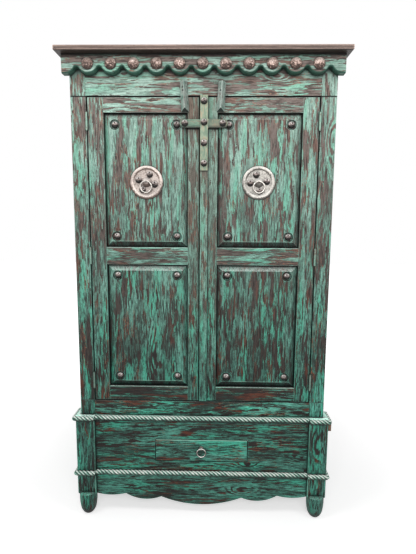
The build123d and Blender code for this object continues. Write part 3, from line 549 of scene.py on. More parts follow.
def plain_wood(name, grain, seed, light, dark, roughness=0.55, edge_colour=None):
    """Unpainted board between two colours, darker in its bands and pores, with painted shade in its corners
    and underneath.
    """
    g = Graph(name)
    wood = Wood(g, grain, seed)
    share = g.sum(g.times(wood.bands, 0.16), g.times(wood.streaks, 0.60), g.times(wood.flames, 0.24))
    colour = g.blend(g.span(share, 0.3, 0.75), light, dark)
    if edge_colour:
        # Pale worn edge, partly a painted highlight on edges that do not face down
        worn = g.times(g.edge(0.008), g.span(wood.patches, 0.35, 0.6, 0.6, 1.0))
        worn = g.times(worn, g.span(g.upward(), -0.3, 0.1))
        colour = g.blend(worn, colour, edge_colour)
    pores = g.span(wood.fibres, 0.60, 0.70, 0.0, 0.5)
    colour = g.shade(colour, g.minus(1.0, pores))
    under = g.span(g.upward(), -0.80, -0.04, 0.22, 1.0)
    corner = g.power(g.crevice(0.02), 1.5)
    colour = g.shade(colour, g.times(g.at_least(0.3, corner), under))
    height = g.sum(g.times(wood.streaks, 0.7), g.times(wood.fibres, 0.5), g.times(pores, -0.5))
    roughness = g.sum(roughness, g.times(wood.fibres, 0.1))
    return g.surface(colour, roughness, height, depth=0.0012, specular=0.4)


def rope_paint(name):
    """Painted highlights on the strands' crowns and upper sides, painted shade in the lay between them, in
    crevices and underneath.
    """
    g = Graph(name)
    point = g.position()
    crown = g.node("ShaderNodeAttribute", attribute_name="crown").outputs["Fac"]
    fine = g.noise(g.scaled(point, 420.0), detail=3.0, roughness=0.6)
    cloud = g.noise(g.scaled(point, 34.0), detail=3.0)
    share = g.sum(
        g.times(crown, 0.85),
        g.times(g.upward(), 0.45),
        g.times(g.minus(fine, 0.5), 0.9),
        g.times(g.minus(cloud, 0.5), 1.1),
    )
    colour = g.ramp(
        share,
        (0.20, (16, 28, 24)),
        (0.54, (48, 88, 75)),
        (0.76, (114, 168, 149)),
        (1.08, (238, 244, 238)),
    )
    worn = g.times(g.span(fine, 0.52, 0.62), g.span(cloud, 0.46, 0.58))
    colour = g.blend(g.times(worn, 0.8), colour, (122, 96, 84))
    under = g.span(g.upward(), -0.75, 0.1, 0.16, 1.0)
    colour = g.shade(colour, g.times(g.at_least(0.3, g.crevice(0.006)), under))
    return g.surface(colour, g.sum(0.38, g.times(fine, 0.2)), fine, depth=0.0006, specular=0.45)


# ---------------- metals
# Heights over which metal goes from painted shade at the foot, for the fall of light from above, to its
# full tone
METAL_SPAN = (0.6, 1.8)
# A nail hole in the iron, painted dark as its shade: radius of its dark middle and of its rim
NAIL_HOLE = (0.0030, 0.0040)
# Painted shade along the lower edge of an arm of the cross, from its foot upwards
ARM_EDGE_SHADE = (0.003, 0.011)
# An escutcheon's boss falls to its dish between these shares of the dish's radius
BOSS_EDGE = (0.14, 0.24)
# Tones of the painted highlight on the boss and the painted shade in the dish
BOSS_HIGHLIGHT = 1.15
DISH_SHADE = 0.72
RIM_STEP = 0.001


def dish_light(g, point, dish):
    """Painted light on a round plate: a painted highlight on the boss, painted shade in the dish, and the
    rim as it is.
    """
    middle_x, middle_z, radius = dish
    x, _, z = g.axes(point)
    away = g.radius(g.minus(x, middle_x), g.minus(z, middle_z))
    boss, foot = (share * radius for share in BOSS_EDGE)
    stops = ((boss, BOSS_HIGHLIGHT), (foot, DISH_SHADE), (radius - RIM_STEP, DISH_SHADE), (radius, 1.0))
    return g.ramp_value(away, *stops)


def beaten_metal(name, colours, dents, roughness, metallic, turn=(-0.35, 0.15, 0.75), speckle=0.5,
                 dish=None, foot_shade=1.0):
    """Beaten metal with a painted highlight where it faces up and painted shade where it faces down.

    colours are pale, middle and dark, and turn is how far up a face is turned for dark, middle and
    pale; dents are repeats per metre; dish is (x, z, radius) of a round inside the piece with painted
    shade and a painted highlight on its boss; foot_shade is the painted shade low on the cabinet.
    """
    g = Graph(name)
    point = g.position()
    pale, middle, dark = colours
    dent = g.cells(g.scaled(point, dents))
    speck = g.noise(g.scaled(point, dents * 2.2), detail=3.0, roughness=0.65)
    cloud = g.noise(g.scaled(point, 55.0))
    blotch = g.sum(g.times(dent, 0.5), speck, g.times(cloud, 0.6))
    # The notch's painted dark reflection pulls the ramp to dark
    pit = g.node("ShaderNodeAttribute", attribute_name="pit").outputs["Fac"]
    # Painted highlight where a face turns up, painted shade and reflection where it turns down
    rubbed_and_lit = g.sum(g.upward(), g.times(g.minus(blotch, 1.03), speckle), g.times(pit, -1.1))
    colour = g.ramp(rubbed_and_lit, (turn[0], dark), (turn[1], middle), (turn[2], pale))
    # Painted shade in the crevice round the foot of a head
    colour = g.shade(colour, g.at_least(0.12, g.power(g.crevice(0.004), 1.8)))
    slow = g.noise(g.scaled(point, 9.0), detail=1.0)
    colour = g.shade(colour, g.span(slow, 0.34, 0.66, 0.90, 1.18))
    if foot_shade < 1.0:
        colour = g.shade(colour, g.span(g.axes(point)[2], *METAL_SPAN, foot_shade, 1.0, smooth=False))
    if dish:
        colour = g.shade(colour, dish_light(g, point, dish))
    height = g.sum(g.times(dent, 0.6), g.times(speck, 0.35))
    roughness = g.sum(roughness, g.times(speck, 0.15))
    return g.surface(colour, roughness, height, depth=0.0007, metallic=metallic)


def painted_iron(name, grain, colours, side_shading, holes, arm):
    """Flat iron in worn paint: pale along its edges, rust and dark specks through it, with painted shade
    underneath, in crevices and low down.

    colours are paint, pale paint, rust and dark; side_shading is the painted light and shade of the faces
    turned left and right, holes the (x, z) of nail holes painted dark as their shade. arm is None or
    (x, z, tone): past x the piece has this tone, with painted shade along its lower edge at z.
    """
    g = Graph(name)
    point = g.position()
    x, _, z = g.axes(point)
    paint, pale, rust, dark = colours
    drag = g.noise(g.scaled(point, grain_scale(grain, 260.0, 40.0)), detail=3.0, roughness=0.6)
    speck = g.noise(g.scaled(point, 300.0), detail=3.0, roughness=0.65)
    cloud = g.noise(g.scaled(point, grain_scale(grain, 60.0, 24.0)), detail=3.0)
    colour = g.ramp(g.sum(g.times(cloud, 0.45), g.times(drag, 0.55)), (0.40, paint), (0.58, pale))
    worn = g.span(g.sum(g.times(drag, 0.7), g.times(cloud, 0.4)), 0.56, 0.64)
    colour = g.blend(g.times(worn, 0.85), colour, rust)
    colour = g.blend(g.span(speck, 0.62, 0.70, 0.0, 0.8), colour, dark)
    colour = g.blend(g.times(g.edge(0.0016), 0.8), colour, pale)
    # Painted shade underneath and in crevices, and towards the foot for the fall of light from above
    under = g.span(g.upward(), -0.6, -0.1, 0.12, 1.0)
    shade = g.times(g.at_least(0.15, g.power(g.crevice(0.012), 2.0)), under)
    shade = g.times(shade, g.span(z, *METAL_SPAN, 0.45, 1.0, smooth=False))
    # Nail holes painted dark as their shade
    for hole_x, hole_z in holes:
        away = g.radius(g.minus(x, hole_x), g.minus(z, hole_z))
        shade = g.times(shade, g.span(away, *NAIL_HOLE, 0.04, 1.0))
    facing_right = g.normal()[0]
    left, right = side_shading
    turned = g.ramp_value(facing_right, (-0.99, 0.3), (-0.93, left), (-0.2, left), (0.2, right),
                          (0.93, right), (0.99, 0.3))
    shade = g.times(shade, turned)
    if arm:
        arm_x, arm_z, tone = arm
        edge_shade = g.span(z, arm_z + ARM_EDGE_SHADE[0], arm_z + ARM_EDGE_SHADE[1], 0.40 * tone, tone)
        on_arm = g.span(x, arm_x, arm_x + 0.0005)
        shade = g.times(shade, g.minus(1.0, g.times(on_arm, g.minus(1.0, edge_shade))))
    colour = g.shade(colour, shade)
    roughness = g.sum(0.36, g.times(speck, 0.2))
    return g.surface(colour, roughness, g.sum(speck, drag), depth=0.0010, metallic=0.1)


# ---------------- meshes
def mesh_piece(name, body, material, bm):
    """Finished smooth mesh piece that rides on a body."""
    bmesh.ops.recalc_face_normals(bm, faces=bm.faces)
    mesh = bpy.data.meshes.new(name)
    bm.to_mesh(mesh)
    bm.free()
    for face in mesh.polygons:
        face.use_smooth = True
    piece = bpy.data.objects.new(name, mesh)
    bpy.context.scene.collection.objects.link(piece)
    mesh.materials.append(material)
    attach(piece, body)
    return piece


def solid_boxes(node):
    """Lowest and highest corner of each separate solid in a CAD node."""
    bm = bmesh.new()
    bm.from_mesh(nodes[node].data)
    bmesh.ops.remove_doubles(bm, verts=bm.verts, dist=MERGE_REACH)
    boxes, seen = [], set()
    for start in bm.verts:
        if start in seen:
            continue
        group, waiting = [], [start]
        seen.add(start)
        while waiting:
            vert = waiting.pop()
            group.append(vert.co)
            for link in vert.link_edges:
                other = link.other_vert(vert)
                if other not in seen:
                    seen.add(other)
                    waiting.append(other)
        low = Vector([min(co[axis] for co in group) for axis in range(3)])
        high = Vector([max(co[axis] for co in group) for axis in range(3)])
        boxes.append((low, high))
    bm.free()
    return boxes


# Nail heads: height of the solid's dome as a share of its radius
HEAD_RISE = {"dark_iron": 10 / 14.5, "hammered_copper": 12 / 24.3}
# The beaten dome is a little lower than the solid's, and it stands on a low skirt
BEATEN_SHARE = 0.94
DOME_SKIRT = 0.0012
DOME_RINGS = 12
DOME_SEGMENTS = 36
# Marks: how many, how deep and how large
CLAVO_DENTS = (34, 0.0015, 0.0046)
NAIL_DENTS = (8, 0.0008, 0.0045)
# The notch on a nail head, dented and given a painted dark reflection
NAIL_NOTCH = (1, 0.0012, 0.0042)
NO_NOTCH = (0, 0, 0)


def hammer_marks(radius, seed, dents, notch):
    """Marks on a head: place, size, depth, and 1 where the mark carries a painted dark reflection.

    dents lie anywhere, and the notch with the painted dark reflection above the middle.
    """
    draw = random.Random(seed)
    marks = []
    count, depth, size = dents
    for _ in range(count):
        away = radius * math.sqrt(draw.random())
        turn = draw.uniform(0, math.tau)
        strength = draw.uniform(0.6, 1.0)
        marks.append((away * math.cos(turn), away * math.sin(turn), size, depth * strength, 0.0))
    count, depth, size = notch
    for _ in range(count):
        marks.append((radius * draw.uniform(-0.08, 0.26), radius * 0.50, size, depth, 1.0))
    return marks


def add_dome(bm, seat, radius, height, marks):
    """Beaten dome on an upright face, its seat at a point and its top to -Y."""
    # Each point keeps its share of painted dark reflection, from the notch on a nail head
    pit = bm.verts.layers.float["pit"]
    sphere = (radius**2 + height**2) / (2 * height)
    half_angle = math.asin(min(1.0, radius / sphere))
    loops = []
    for ring in range(1, DOME_RINGS + 1):
        out = ring / DOME_RINGS
        angle = half_angle * out
        loop = []
        for index in range(DOME_SEGMENTS):
            turn = math.tau * index / DOME_SEGMENTS
            u = sphere * math.sin(angle) * math.cos(turn)
            w = sphere * math.sin(angle) * math.sin(turn)
            rise = height - sphere * (1 - math.cos(angle)) + DOME_SKIRT * (1 - out**8)
            marked = 0.0
            for mark_u, mark_w, size, depth, dark in marks:
                reach = math.hypot(u - mark_u, (w - mark_w) * (0.7 if dark else 1.0)) / size
                if reach < 1:
                    rise -= depth * (1 - reach**2) ** 2 * (1 - out**6)
                    marked = max(marked, dark * (1 - reach))
            vert = bm.verts.new(seat + Vector((u, -max(rise, 0.0), w)))
            vert[pit] = marked
            loop.append(vert)
        loops.append(loop)
    top = bm.verts.new(seat + Vector((0, -(height + DOME_SKIRT * 0.6), 0)))
    for index in range(DOME_SEGMENTS):
        after = (index + 1) % DOME_SEGMENTS
        bm.faces.new((top, loops[0][index], loops[0][after]))
        for inner, outer in zip(loops, loops[1:]):
            bm.faces.new((inner[index], outer[index], outer[after], inner[after]))
    bm.faces.new(loops[-1])


def nail_heads(node, name, slot, material, dents, notch):
    """Beaten heads in the places of one CAD node's nails."""
    bm = bmesh.new()
    bm.verts.layers.float.new("pit")
    for index, (low, high) in enumerate(solid_boxes(node)):
        radius = (high.x - low.x) / 2
        height = HEAD_RISE[slot] * radius
        seat = Vector(((low.x + high.x) / 2, low.y + height, (low.z + high.z) / 2))
        add_dome(bm, seat, radius, height * BEATEN_SHARE, hammer_marks(radius, index, dents, notch))
    piece = mesh_piece(name, nodes[node]["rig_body"], material, bm)
    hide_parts(node)


# Rope moulding: strands round the rod, let into the face it follows
ROPE_RADIUS = 0.0115
ROPE_OUT = 0.0045
STRANDS = 4
STRAND_ADVANCE = 0.0182
STRAND_SHARE = 0.52
# Between two of the rope's outlines, points on each, and outlines round a corner
ROPE_STEP = 0.0026
ROPE_POINTS = 40
CORNER_STATIONS = 7
# Between the ropes on a post and on the panels beside it
ROPE_GAP = 0.0003
ROPE_SEED = 5


def rope_radius(angle):
    """Distance from the middle to the outline of round strands laid together."""
    sector = math.tau / STRANDS
    off = (angle + sector / 2) % sector - sector / 2
    strand = STRAND_SHARE * ROPE_RADIUS
    centre = ROPE_RADIUS - strand
    return centre * math.cos(off) + math.sqrt(strand**2 - (centre * math.sin(off)) ** 2)


GROOVE_RADIUS = rope_radius(math.pi / STRANDS)


def rope_stations(start, end, outward):
    """Points on a face from start to end, with the direction out of the face."""
    length = (end - start).length
    count = max(2, round(length / ROPE_STEP))
    return [(start.lerp(end, index / count), outward) for index in range(count + 1)]


def corner_stations(pivot, first, last):
    """The turn about an upright edge, between two faces' directions."""
    shares = [(index + 1) / (CORNER_STATIONS + 1) for index in range(CORNER_STATIONS)]
    return [(pivot, first.lerp(last, share).normalized()) for share in shares]


def add_rope(bm, stations, turn):
    """Twisted rope through the stations; its twist starts at turn."""
    crown = bm.verts.layers.float["crown"]
    travelled, loops, before = 0.0, [], None
    for face_point, outward in stations:
        middle = face_point + outward * ROPE_OUT
        if before is not None:
            travelled += (middle - before).length
        before = middle
        twist = turn - travelled * math.tau / (STRANDS * STRAND_ADVANCE)
        loop = []
        for index in range(ROPE_POINTS):
            angle = math.tau * index / ROPE_POINTS
            radius = rope_radius(angle - twist)
            out = max(ROPE_OUT + radius * math.cos(angle), 0.0)
            vert = bm.verts.new(face_point + outward * out + Vector((0, 0, radius * math.sin(angle))))
            vert[crown] = (radius - GROOVE_RADIUS) / (ROPE_RADIUS - GROOVE_RADIUS)
            loop.append(vert)
        loops.append(loop)
    for near, far in zip(loops, loops[1:]):
        for index in range(ROPE_POINTS):
            after = (index + 1) % ROPE_POINTS
            bm.faces.new((near[index], far[index], far[after], near[after]))
    bm.faces.new(loops[0])
    bm.faces.new(loops[-1])


def rope_runs(z):
    """Stations of each length of rope at one height: the front, then post, side and rear post."""
    ledge_low, ledge_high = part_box("ledge_top")
    panel_low, panel_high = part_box("base_front_panel")
    side_low, side_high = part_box("base_side_panels")
    front = Vector((0, -1, 0))

    def at(x, y):
        return Vector((x, y, z))

    runs = [rope_stations(at(panel_low.x, panel_low.y), at(panel_high.x, panel_low.y), front)]
    for side in SIDES.values():
        out = Vector((side, 0, 0))
        outer, inner = side * ledge_high.x, side * side_high.x
        start = side * (panel_high.x + ROPE_GAP)
        post = (
            rope_stations(at(start, ledge_low.y), at(outer, ledge_low.y), front)
            + corner_stations(at(outer, ledge_low.y), front, out)
            + rope_stations(at(outer, ledge_low.y), at(outer, side_low.y - ROPE_GAP), out)
        )
        middle = rope_stations(at(inner, side_low.y), at(inner, side_high.y), out)
        rear = rope_stations(at(outer, side_high.y + ROPE_GAP), at(outer, ledge_high.y), out)
        runs += [post, middle, rear]
    return runs


def rope_mouldings(material):
    """Both levels of rope round the front, the posts and the sides."""
    rope_low, rope_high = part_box("rope_mouldings")
    bm = bmesh.new()
    bm.verts.layers.float.new("crown")
    draw = random.Random(ROPE_SEED)
    for z in (rope_low.z + ROPE_RADIUS, rope_high.z - ROPE_RADIUS):
        for stations in rope_runs(z):
            on_left_side = stations[-1][1].x < -0.5
            add_rope(bm, stations[::-1] if on_left_side else stations, draw.uniform(0, math.tau))
    bmesh.ops.remove_doubles(bm, verts=bm.verts, dist=MERGE_REACH)
    bmesh.ops.dissolve_degenerate(bm, edges=bm.edges, dist=MERGE_REACH)
    piece = mesh_piece("rope_twists", "case", material, bm)
    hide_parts("rope_mouldings")


# ---------------- what each node wears
# node: grain direction, share of paint left low down and high up, tone,
# knots as (across, along, size, share that is solid)
PAINTED = {
    "front_valance": ("x", (0.60, 0.60), 0.98, ()),
    "side_valances": ("y", (0.50, 0.50), 0.90, ()),
    "crown_front_board": ("x", (0.59, 0.59), 1.08, ((1.991, 0.31, 0.015, 0.3), (1.997, -0.33, 0.015, 0.3))),
    "corner_blocks": ("z", (0.72, 0.72), 0.98, ()),
    "front_posts": ("z", (0.56, 0.42), 1.03, ((0.549, 1.735, 0.020, 0.2),)),
    "case_sides": ("z", (0.60, 0.48), 0.90, ()),
    "bottom_rail": ("x", (0.54, 0.54), 1.42, ()),
    "ledge_top": ("x", (0.94, 0.94), 3.60, ()),
    "base_posts": ("z", (0.76, 0.76), 0.90, ((0.533, 0.36, 0.022, 0.0),)),
    "base_front_panel": ("x", (0.62, 0.62), 0.94, ((0.251, 0.218, 0.014, 1.0), (0.290, 0.471, 0.016, 0.7))),
    "base_side_panels": ("y", (0.56, 0.56), 0.85, ()),
    "front_apron": ("x", (0.78, 0.78), 1.00, ((0.122, 0.191, 0.016, 1.0),)),
    "side_aprons": ("y", (0.74, 0.74), 0.90, ()),
    "drawer_front": ("x", (0.78, 0.78), 1.10, ()),
    "astragal": ("z", (0.76, 0.42), 1.00, ()),
    "left_hinge_stile": ("z", (0.62, 0.44), 1.00, ()),
    "left_meeting_stile": ("z", (0.74, 0.34), 0.98, ()),
    "left_bottom_rail": ("x", (0.26, 0.26), 1.02, ()),
    "left_middle_rail": ("x", (0.42, 0.42), 1.20, ()),
    "left_top_rail": ("x", (0.44, 0.44), 1.12, ()),
    "left_upper_panel": ("z", (0.56, 0.56), 1.00, ()),
    "left_lower_panel": ("z", (0.62, 0.62), 0.90, ((-0.218, 0.779, 0.024, 1.0),)),
    "right_hinge_stile": ("z", (0.66, 0.48), 1.00, ()),
    "right_meeting_stile": ("z", (0.74, 0.34), 0.98, ()),
    "right_bottom_rail": ("x", (0.30, 0.30), 1.02, ()),
    "right_middle_rail": ("x", (0.46, 0.46), 1.20, ()),
    "right_top_rail": ("x", (0.46, 0.46), 1.10, ()),
    "right_upper_panel": ("z", (0.56, 0.56), 1.04, ()),
    "right_lower_panel": ("z", (0.62, 0.62), 0.90, ()),
}
# Pieces with scalloped undersides
LOBED = ("front_valance", "side_valances")
# Share of painted highlight on the edges of pieces flush or nearly flush with their neighbours, and on the
# rest
EDGE_HIGHLIGHT = {"crown_front_board": 0.0, "corner_blocks": 0.0, "front_posts": 0.3, "bottom_rail": 0.2}
OTHER_EDGE_HIGHLIGHT = 0.8
# Pieces in the middle of the doors that are washed over with olive at the top: its share
WASHES = {"astragal": 0.50, "left_meeting_stile": 0.36, "right_meeting_stile": 0.36}
# Unpainted pieces: grain direction
BARE = {
    "case_ceiling": "x", "case_floor": "x", "shelves": "x", "cleats": "y", "drawer_sides": "y",
    "drawer_back": "x", "drawer_floor": "y", "drawer_runners": "y", "back_panels": "z",
}
BARE_SEEDS = 100
BARE_COLOURS = ((132, 102, 80), (84, 62, 48))
CAP_SEED = 200
CAP_COLOURS = ((124, 104, 94), (80, 65, 58))
# Pale worn edge of the cap, partly a painted highlight where it does not face down
CAP_EDGE = (246, 214, 198)

# Depths of the painted shadow lines under the arms of the cross
ARM_SHADOW = (0.0005, 0.0030, 0.0055)
ARM_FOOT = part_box("cross_left_arm")[0].z

# Worn paint on iron: paint, pale paint, rust, dark
BAR_COLOURS = ((92, 120, 109), (196, 214, 205), (104, 88, 82), (32, 32, 30))
HINGE_COLOURS = ((120, 168, 150), (172, 206, 188), (112, 88, 76), (52, 52, 48))
STRAP_COLOURS = ((114, 138, 116), (156, 172, 146), (172, 154, 128), (90, 84, 70))
ARM_COLOURS = ((86, 120, 100), (132, 160, 138), (126, 108, 90), (48, 50, 44))
EVEN = (1.0, 1.0)
# node: length direction, colours, painted light and shade on the faces turned left and right, nail holes
PAINTED_IRON = {
    "left_ridged_bar": ("z", BAR_COLOURS, (1.15, 0.80), ((-0.0849, 1.935), (-0.0856, 1.948))),
    "right_ridged_bar": ("z", BAR_COLOURS, (1.15, 0.92), ((0.0739, 1.935),)),
    "left_door_hinge_leaves": ("z", HINGE_COLOURS, EVEN, ()),
    "right_door_hinge_leaves": ("z", HINGE_COLOURS, EVEN, ()),
    "case_hinge_leaves": ("z", HINGE_COLOURS, EVEN, ()),
    "hinge_pins": ("z", HINGE_COLOURS, EVEN, ()),
    "cross_strap": ("z", STRAP_COLOURS, EVEN, ()),
    "cross_left_arm": ("x", ARM_COLOURS, EVEN, ()),
}
# Pieces with an arm of the cross: where it starts in x, its foot, its tone
ARMS = {
    "cross_strap": (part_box("astragal")[1].x + 0.0005, ARM_FOOT, 0.56),
    "cross_left_arm": (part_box("cross_left_arm")[0].x - 0.001, ARM_FOOT, 0.94),
}

# Beaten metal: pale, middle, dark, the pale a painted highlight on faces turned up and the dark painted
# shade and reflection on faces turned down. The escutcheons are warm on the left and greyer on the right.
RING_NICKEL = ((252, 250, 245), (220, 214, 206), (84, 74, 68))
DRAWER_NICKEL = ((246, 242, 238), (112, 102, 96), (44, 38, 35))
PLATE_NICKEL = {
    "left": ((246, 236, 229), (208, 194, 185), (108, 92, 84)),
    "right": ((236, 233, 227), (194, 189, 181), (96, 92, 87)),
}
COPPER = ((250, 230, 220), (176, 148, 136), (58, 42, 36))
DARK_IRON = ((244, 238, 234), (132, 118, 112), (20, 15, 13))
# Width of an escutcheon's rim
PLATE_RIM = 0.0175


def door_seams(side):
    """Planes of the joints round a door: beside it, over it and under it."""
    low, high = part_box(f"{side}_hinge_stile")
    return (("x", low.x if side == "left" else high.x), ("z", high.z), ("z", low.z))


def dark_joints_and_shadows():
    """node: planes of the joints along it that read as dark lines, and of the painted shadow under the arms
    of the cross.
    """
    arm_shadow = tuple(("z", ARM_FOOT - down) for down in ARM_SHADOW)
    joints = {"astragal": arm_shadow}
    for side in SIDES:
        for part in ("hinge_stile", "meeting_stile", "top_rail", "bottom_rail"):
            joints[f"{side}_{part}"] = door_seams(side)
        joints[f"{side}_meeting_stile"] += arm_shadow
    joints["crown_front_board"] = (("z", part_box("crown_front_board")[0].z),)
    joints["corner_blocks"] = tuple(("z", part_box("corner_blocks")[0].z + up) for up in (0.0, 0.0020))
    joints["front_posts"] = tuple(("z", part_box("front_posts")[1].z - down) for down in (0.0, 0.0025))
    joints["bottom_rail"] = (("z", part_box("bottom_rail")[1].z),)
    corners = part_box("drawer_front")
    joints["drawer_front"] = tuple((axis, corner[AXES[axis]]) for axis in "xz" for corner in corners)
    return joints


def field_foot(panel):
    """Height of the lower edge of a raised panel's flat field."""
    points = [vertex.co for vertex in nodes[panel].data.vertices]
    front = min(point.y for point in points) + 0.0005
    return min(point.z for point in points if point.y < front)


def bright_edges():
    """node: edges with painted highlights, as axis, place, reach and strength of the line."""
    edges = {}
    for side in SIDES:
        for part, strength in (("middle", 0.5), ("bottom", 1.0)):
            rail = f"{side}_{part}_rail"
            edges[rail] = (("z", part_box(rail)[1].z, 0.0036, strength),)
        for part in ("upper", "lower"):
            panel = f"{side}_{part}_panel"
            edges[panel] = (("z", field_foot(panel), 0.0030, 0.35),)
    edges["drawer_front"] = (("z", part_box("drawer_front")[1].z - 0.003, 0.0018, 0.8),)
    edges["base_posts"] = tuple(("x", end.x, 0.0045, 0.6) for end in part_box("base_front_panel"))
    return edges


def dress(node, material):
    """Gives a CAD node one material."""
    slots = nodes[node].data.materials
    slots.clear()
    slots.append(material)


def dress_wood():
    """Painted and bare wood, and the cap."""
    joints, edges = dark_joints_and_shadows(), bright_edges()
    for seed, (node, (grain, cover, tone, knots)) in enumerate(PAINTED.items()):
        dress(node, painted_wood(
            f"paint_{node}", grain, seed, cover, tone, knots,
            seams=joints.get(node, ()),
            glints=edges.get(node, ()),
            edge_highlight=EDGE_HIGHLIGHT.get(node, OTHER_EDGE_HIGHLIGHT),
            wash=WASHES.get(node, 0.0),
            lobes=node in LOBED,
        ))
    for seed, (node, grain) in enumerate(BARE.items()):
        dress(node, plain_wood(f"bare_{node}", grain, BARE_SEEDS + seed, *BARE_COLOURS))
    cap = plain_wood("cap_wood", "x", CAP_SEED, *CAP_COLOURS, roughness=0.42, edge_colour=CAP_EDGE)
    dress("cap_top", cap)


def dress_nickel():
    """Escutcheons, rings and their eyes."""
    bright = beaten_metal("ring_nickel", RING_NICKEL, dents=200, roughness=0.22, metallic=0.5)
    chrome = beaten_metal("drawer_ring_nickel", DRAWER_NICKEL, dents=200, roughness=0.22, metallic=0.4,
                          turn=(-0.4, 0.05, 0.45))
    for side in SIDES:
        low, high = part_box(f"{side}_escutcheon")
        dish = ((low.x + high.x) / 2, (low.z + high.z) / 2, (high.x - low.x) / 2 - PLATE_RIM)
        plate = beaten_metal(f"plate_nickel_{side}", PLATE_NICKEL[side], dents=170, roughness=0.34,
                             metallic=0.3, turn=(-0.35, 0.10, 0.6), speckle=1.0, dish=dish)
        dress(f"{side}_escutcheon", plate)
        dress(f"{side}_ring_eye", bright)
        dress(f"{side}_pull_ring", bright)
    for node in ("drawer_pull_eye", "drawer_ring"):
        dress(node, chrome)


def dress_iron():
    """Bars, hinges and the cross."""
    for node, (grain, colours, side_shading, holes) in PAINTED_IRON.items():
        dress(node, painted_iron(f"iron_{node}", grain, colours, side_shading, holes, ARMS.get(node)))


def add_nails():
    """Copper clavos on the cornice, dark iron nails on the doors."""
    copper = beaten_metal("hammered_copper", COPPER, dents=300, roughness=0.30, metallic=0.35, speckle=2.7)
    nail_heads("cornice_clavos", "cornice_nail_heads", "hammered_copper", copper, CLAVO_DENTS, NO_NOTCH)
    dark_iron = beaten_metal("dark_iron", DARK_IRON, dents=260, roughness=0.20, metallic=0.35,
                             turn=(-0.28, 0.12, 0.66), foot_shade=0.55)
    for side in SIDES:
        nail_heads(f"{side}_door_clavos", f"{side}_door_nail_heads", "dark_iron", dark_iron,
                   NAIL_DENTS, NAIL_NOTCH)


# ---------------- camera, light, floor
CAMERA_PLACE = Vector((0.062, -2.0735, 1.386))
CAMERA_PITCH = math.radians(7.47)
CAMERA_YAW = math.radians(-1.11)
CAMERA_ROLL = math.radians(0.35)
SENSOR = 36.0
FOCAL_PIXELS = 416.0
PICTURE_HEIGHT = 554.0


def make_camera():
    """Camera at the photo's view."""
    data = bpy.data.cameras.new("camera")
    data.sensor_width = SENSOR
    data.lens = SENSOR * FOCAL_PIXELS / PICTURE_HEIGHT
    camera = bpy.data.objects.new("camera", data)
    bpy.context.scene.collection.objects.link(camera)
    bpy.context.scene.camera = camera
    ahead = Vector((
        math.sin(CAMERA_YAW) * math.cos(CAMERA_PITCH),
        math.cos(CAMERA_YAW) * math.cos(CAMERA_PITCH),
        -math.sin(CAMERA_PITCH),
    ))
    level = Vector((math.cos(CAMERA_YAW), -math.sin(CAMERA_YAW), 0))
    above = level.cross(ahead)
    right = level * math.cos(CAMERA_ROLL) + above * math.sin(CAMERA_ROLL)
    up = above * math.cos(CAMERA_ROLL) - level * math.sin(CAMERA_ROLL)
    turned = Matrix((right, up, -ahead)).transposed().to_4x4()
    camera.matrix_world = Matrix.Translation(CAMERA_PLACE) @ turned


# name: place, the point it is aimed at, its width and height, its power in watts
LAMPS = {
    "front": ((0.2, -3.4, 2.3), (0.0, -0.23, 1.1), (2.6, 1.6), 62),
    "left": ((-1.6, -1.2, 3.1), (-0.1, -0.25, 1.5), (0.9, 0.7), 15),
    "right": ((1.7, -1.3, 3.0), (0.1, -0.25, 1.5), (0.8, 0.6), 9),
}


def make_lamps():
    """Soft rectangular lamps, each aimed at a point."""
    for name, (place, target, size, power) in LAMPS.items():
        data = bpy.data.lights.new(name, "AREA")
        data.shape = "RECTANGLE"
        data.size, data.size_y = size
        data.energy = power
        lamp = bpy.data.objects.new(name, data)
        bpy.context.scene.collection.objects.link(lamp)
        lamp.location = place
        lamp.rotation_mode = "QUATERNION"
        lamp.rotation_quaternion = (Vector(target) - Vector(place)).to_track_quat("-Z", "Y")


WORLD_LEVEL = 0.32
WHITE = (1.0, 1.0, 1.0, 1.0)
FLOOR_COLOUR = (236, 236, 236)
FLOOR_REACH = 12.0
# The floor's glow, near the cabinet and far from it, and where it changes
FLOOR_GLOW = (0.52, 1.0)
FLOOR_GLOW_SPAN = (0.7, 2.4)


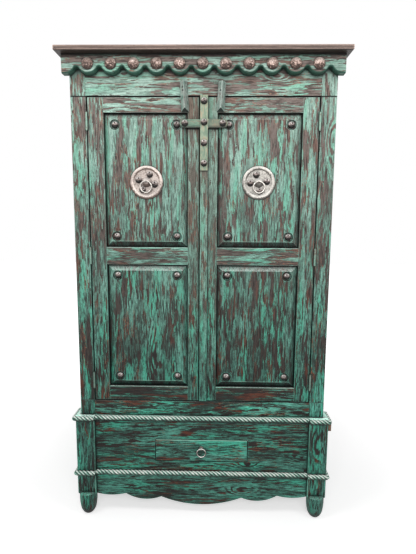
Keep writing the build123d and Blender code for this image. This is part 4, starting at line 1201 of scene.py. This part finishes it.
def seen_directly(tree):
    """1 for rays from the camera, in gloss and through glass, 0 for the light on other things."""
    path = tree.nodes.new("ShaderNodeLightPath")
    seen = path.outputs["Is Camera Ray"]
    for ray in ("Is Glossy Ray", "Is Transmission Ray"):
        either = tree.nodes.new("ShaderNodeMath")
        either.operation = "MAXIMUM"
        tree.links.new(seen, either.inputs[0])
        tree.links.new(path.outputs[ray], either.inputs[1])
        seen = either.outputs[0]
    return seen


def make_world():
    """Soft light all round, and plain white where the camera, gloss or glass sees it."""
    world = bpy.data.worlds.new("world")
    bpy.context.scene.world = world
    world.use_nodes = True
    tree = world.node_tree
    tree.nodes.clear()
    level = tree.nodes.new("ShaderNodeMapRange")
    level.inputs["To Min"].default_value = WORLD_LEVEL
    level.inputs["To Max"].default_value = 1.0
    tree.links.new(seen_directly(tree), level.inputs["Value"])
    background = tree.nodes.new("ShaderNodeBackground")
    background.inputs["Color"].default_value = WHITE
    tree.links.new(level.outputs["Result"], background.inputs["Strength"])
    output = tree.nodes.new("ShaderNodeOutputWorld")
    tree.links.new(background.outputs[0], output.inputs["Surface"])


def make_floor():
    """Plain pale floor that keeps the cabinet's shadow."""
    bm = bmesh.new()
    corners = [(-1, -1), (1, -1), (1, 1), (-1, 1)]
    bm.faces.new([bm.verts.new((x * FLOOR_REACH, y * FLOOR_REACH, 0)) for x, y in corners])
    mesh = bpy.data.meshes.new("floor")
    bm.to_mesh(mesh)
    bm.free()
    floor = bpy.data.objects.new("floor", mesh)
    bpy.context.scene.collection.objects.link(floor)
    g = Graph("floor")
    mesh.materials.append(g.surface(FLOOR_COLOUR, 0.8, specular=0.1))
    shader = next(node for node in g.tree.nodes if node.type == "BSDF_PRINCIPLED")
    shader.inputs["Emission Color"].default_value = WHITE
    x, y, _ = g.axes(g.position())
    glow = g.span(g.radius(x, y), *FLOOR_GLOW_SPAN, *FLOOR_GLOW)
    g.feed(shader.inputs["Emission Strength"], g.times(seen_directly(g.tree), glow))


bpy.context.scene.view_settings.view_transform = "Standard"
make_camera()
make_world()
make_floor()
make_lamps()

dress_wood()
dress_nickel()
dress_iron()
rope_mouldings(rope_paint("paint_rope"))
add_nails()
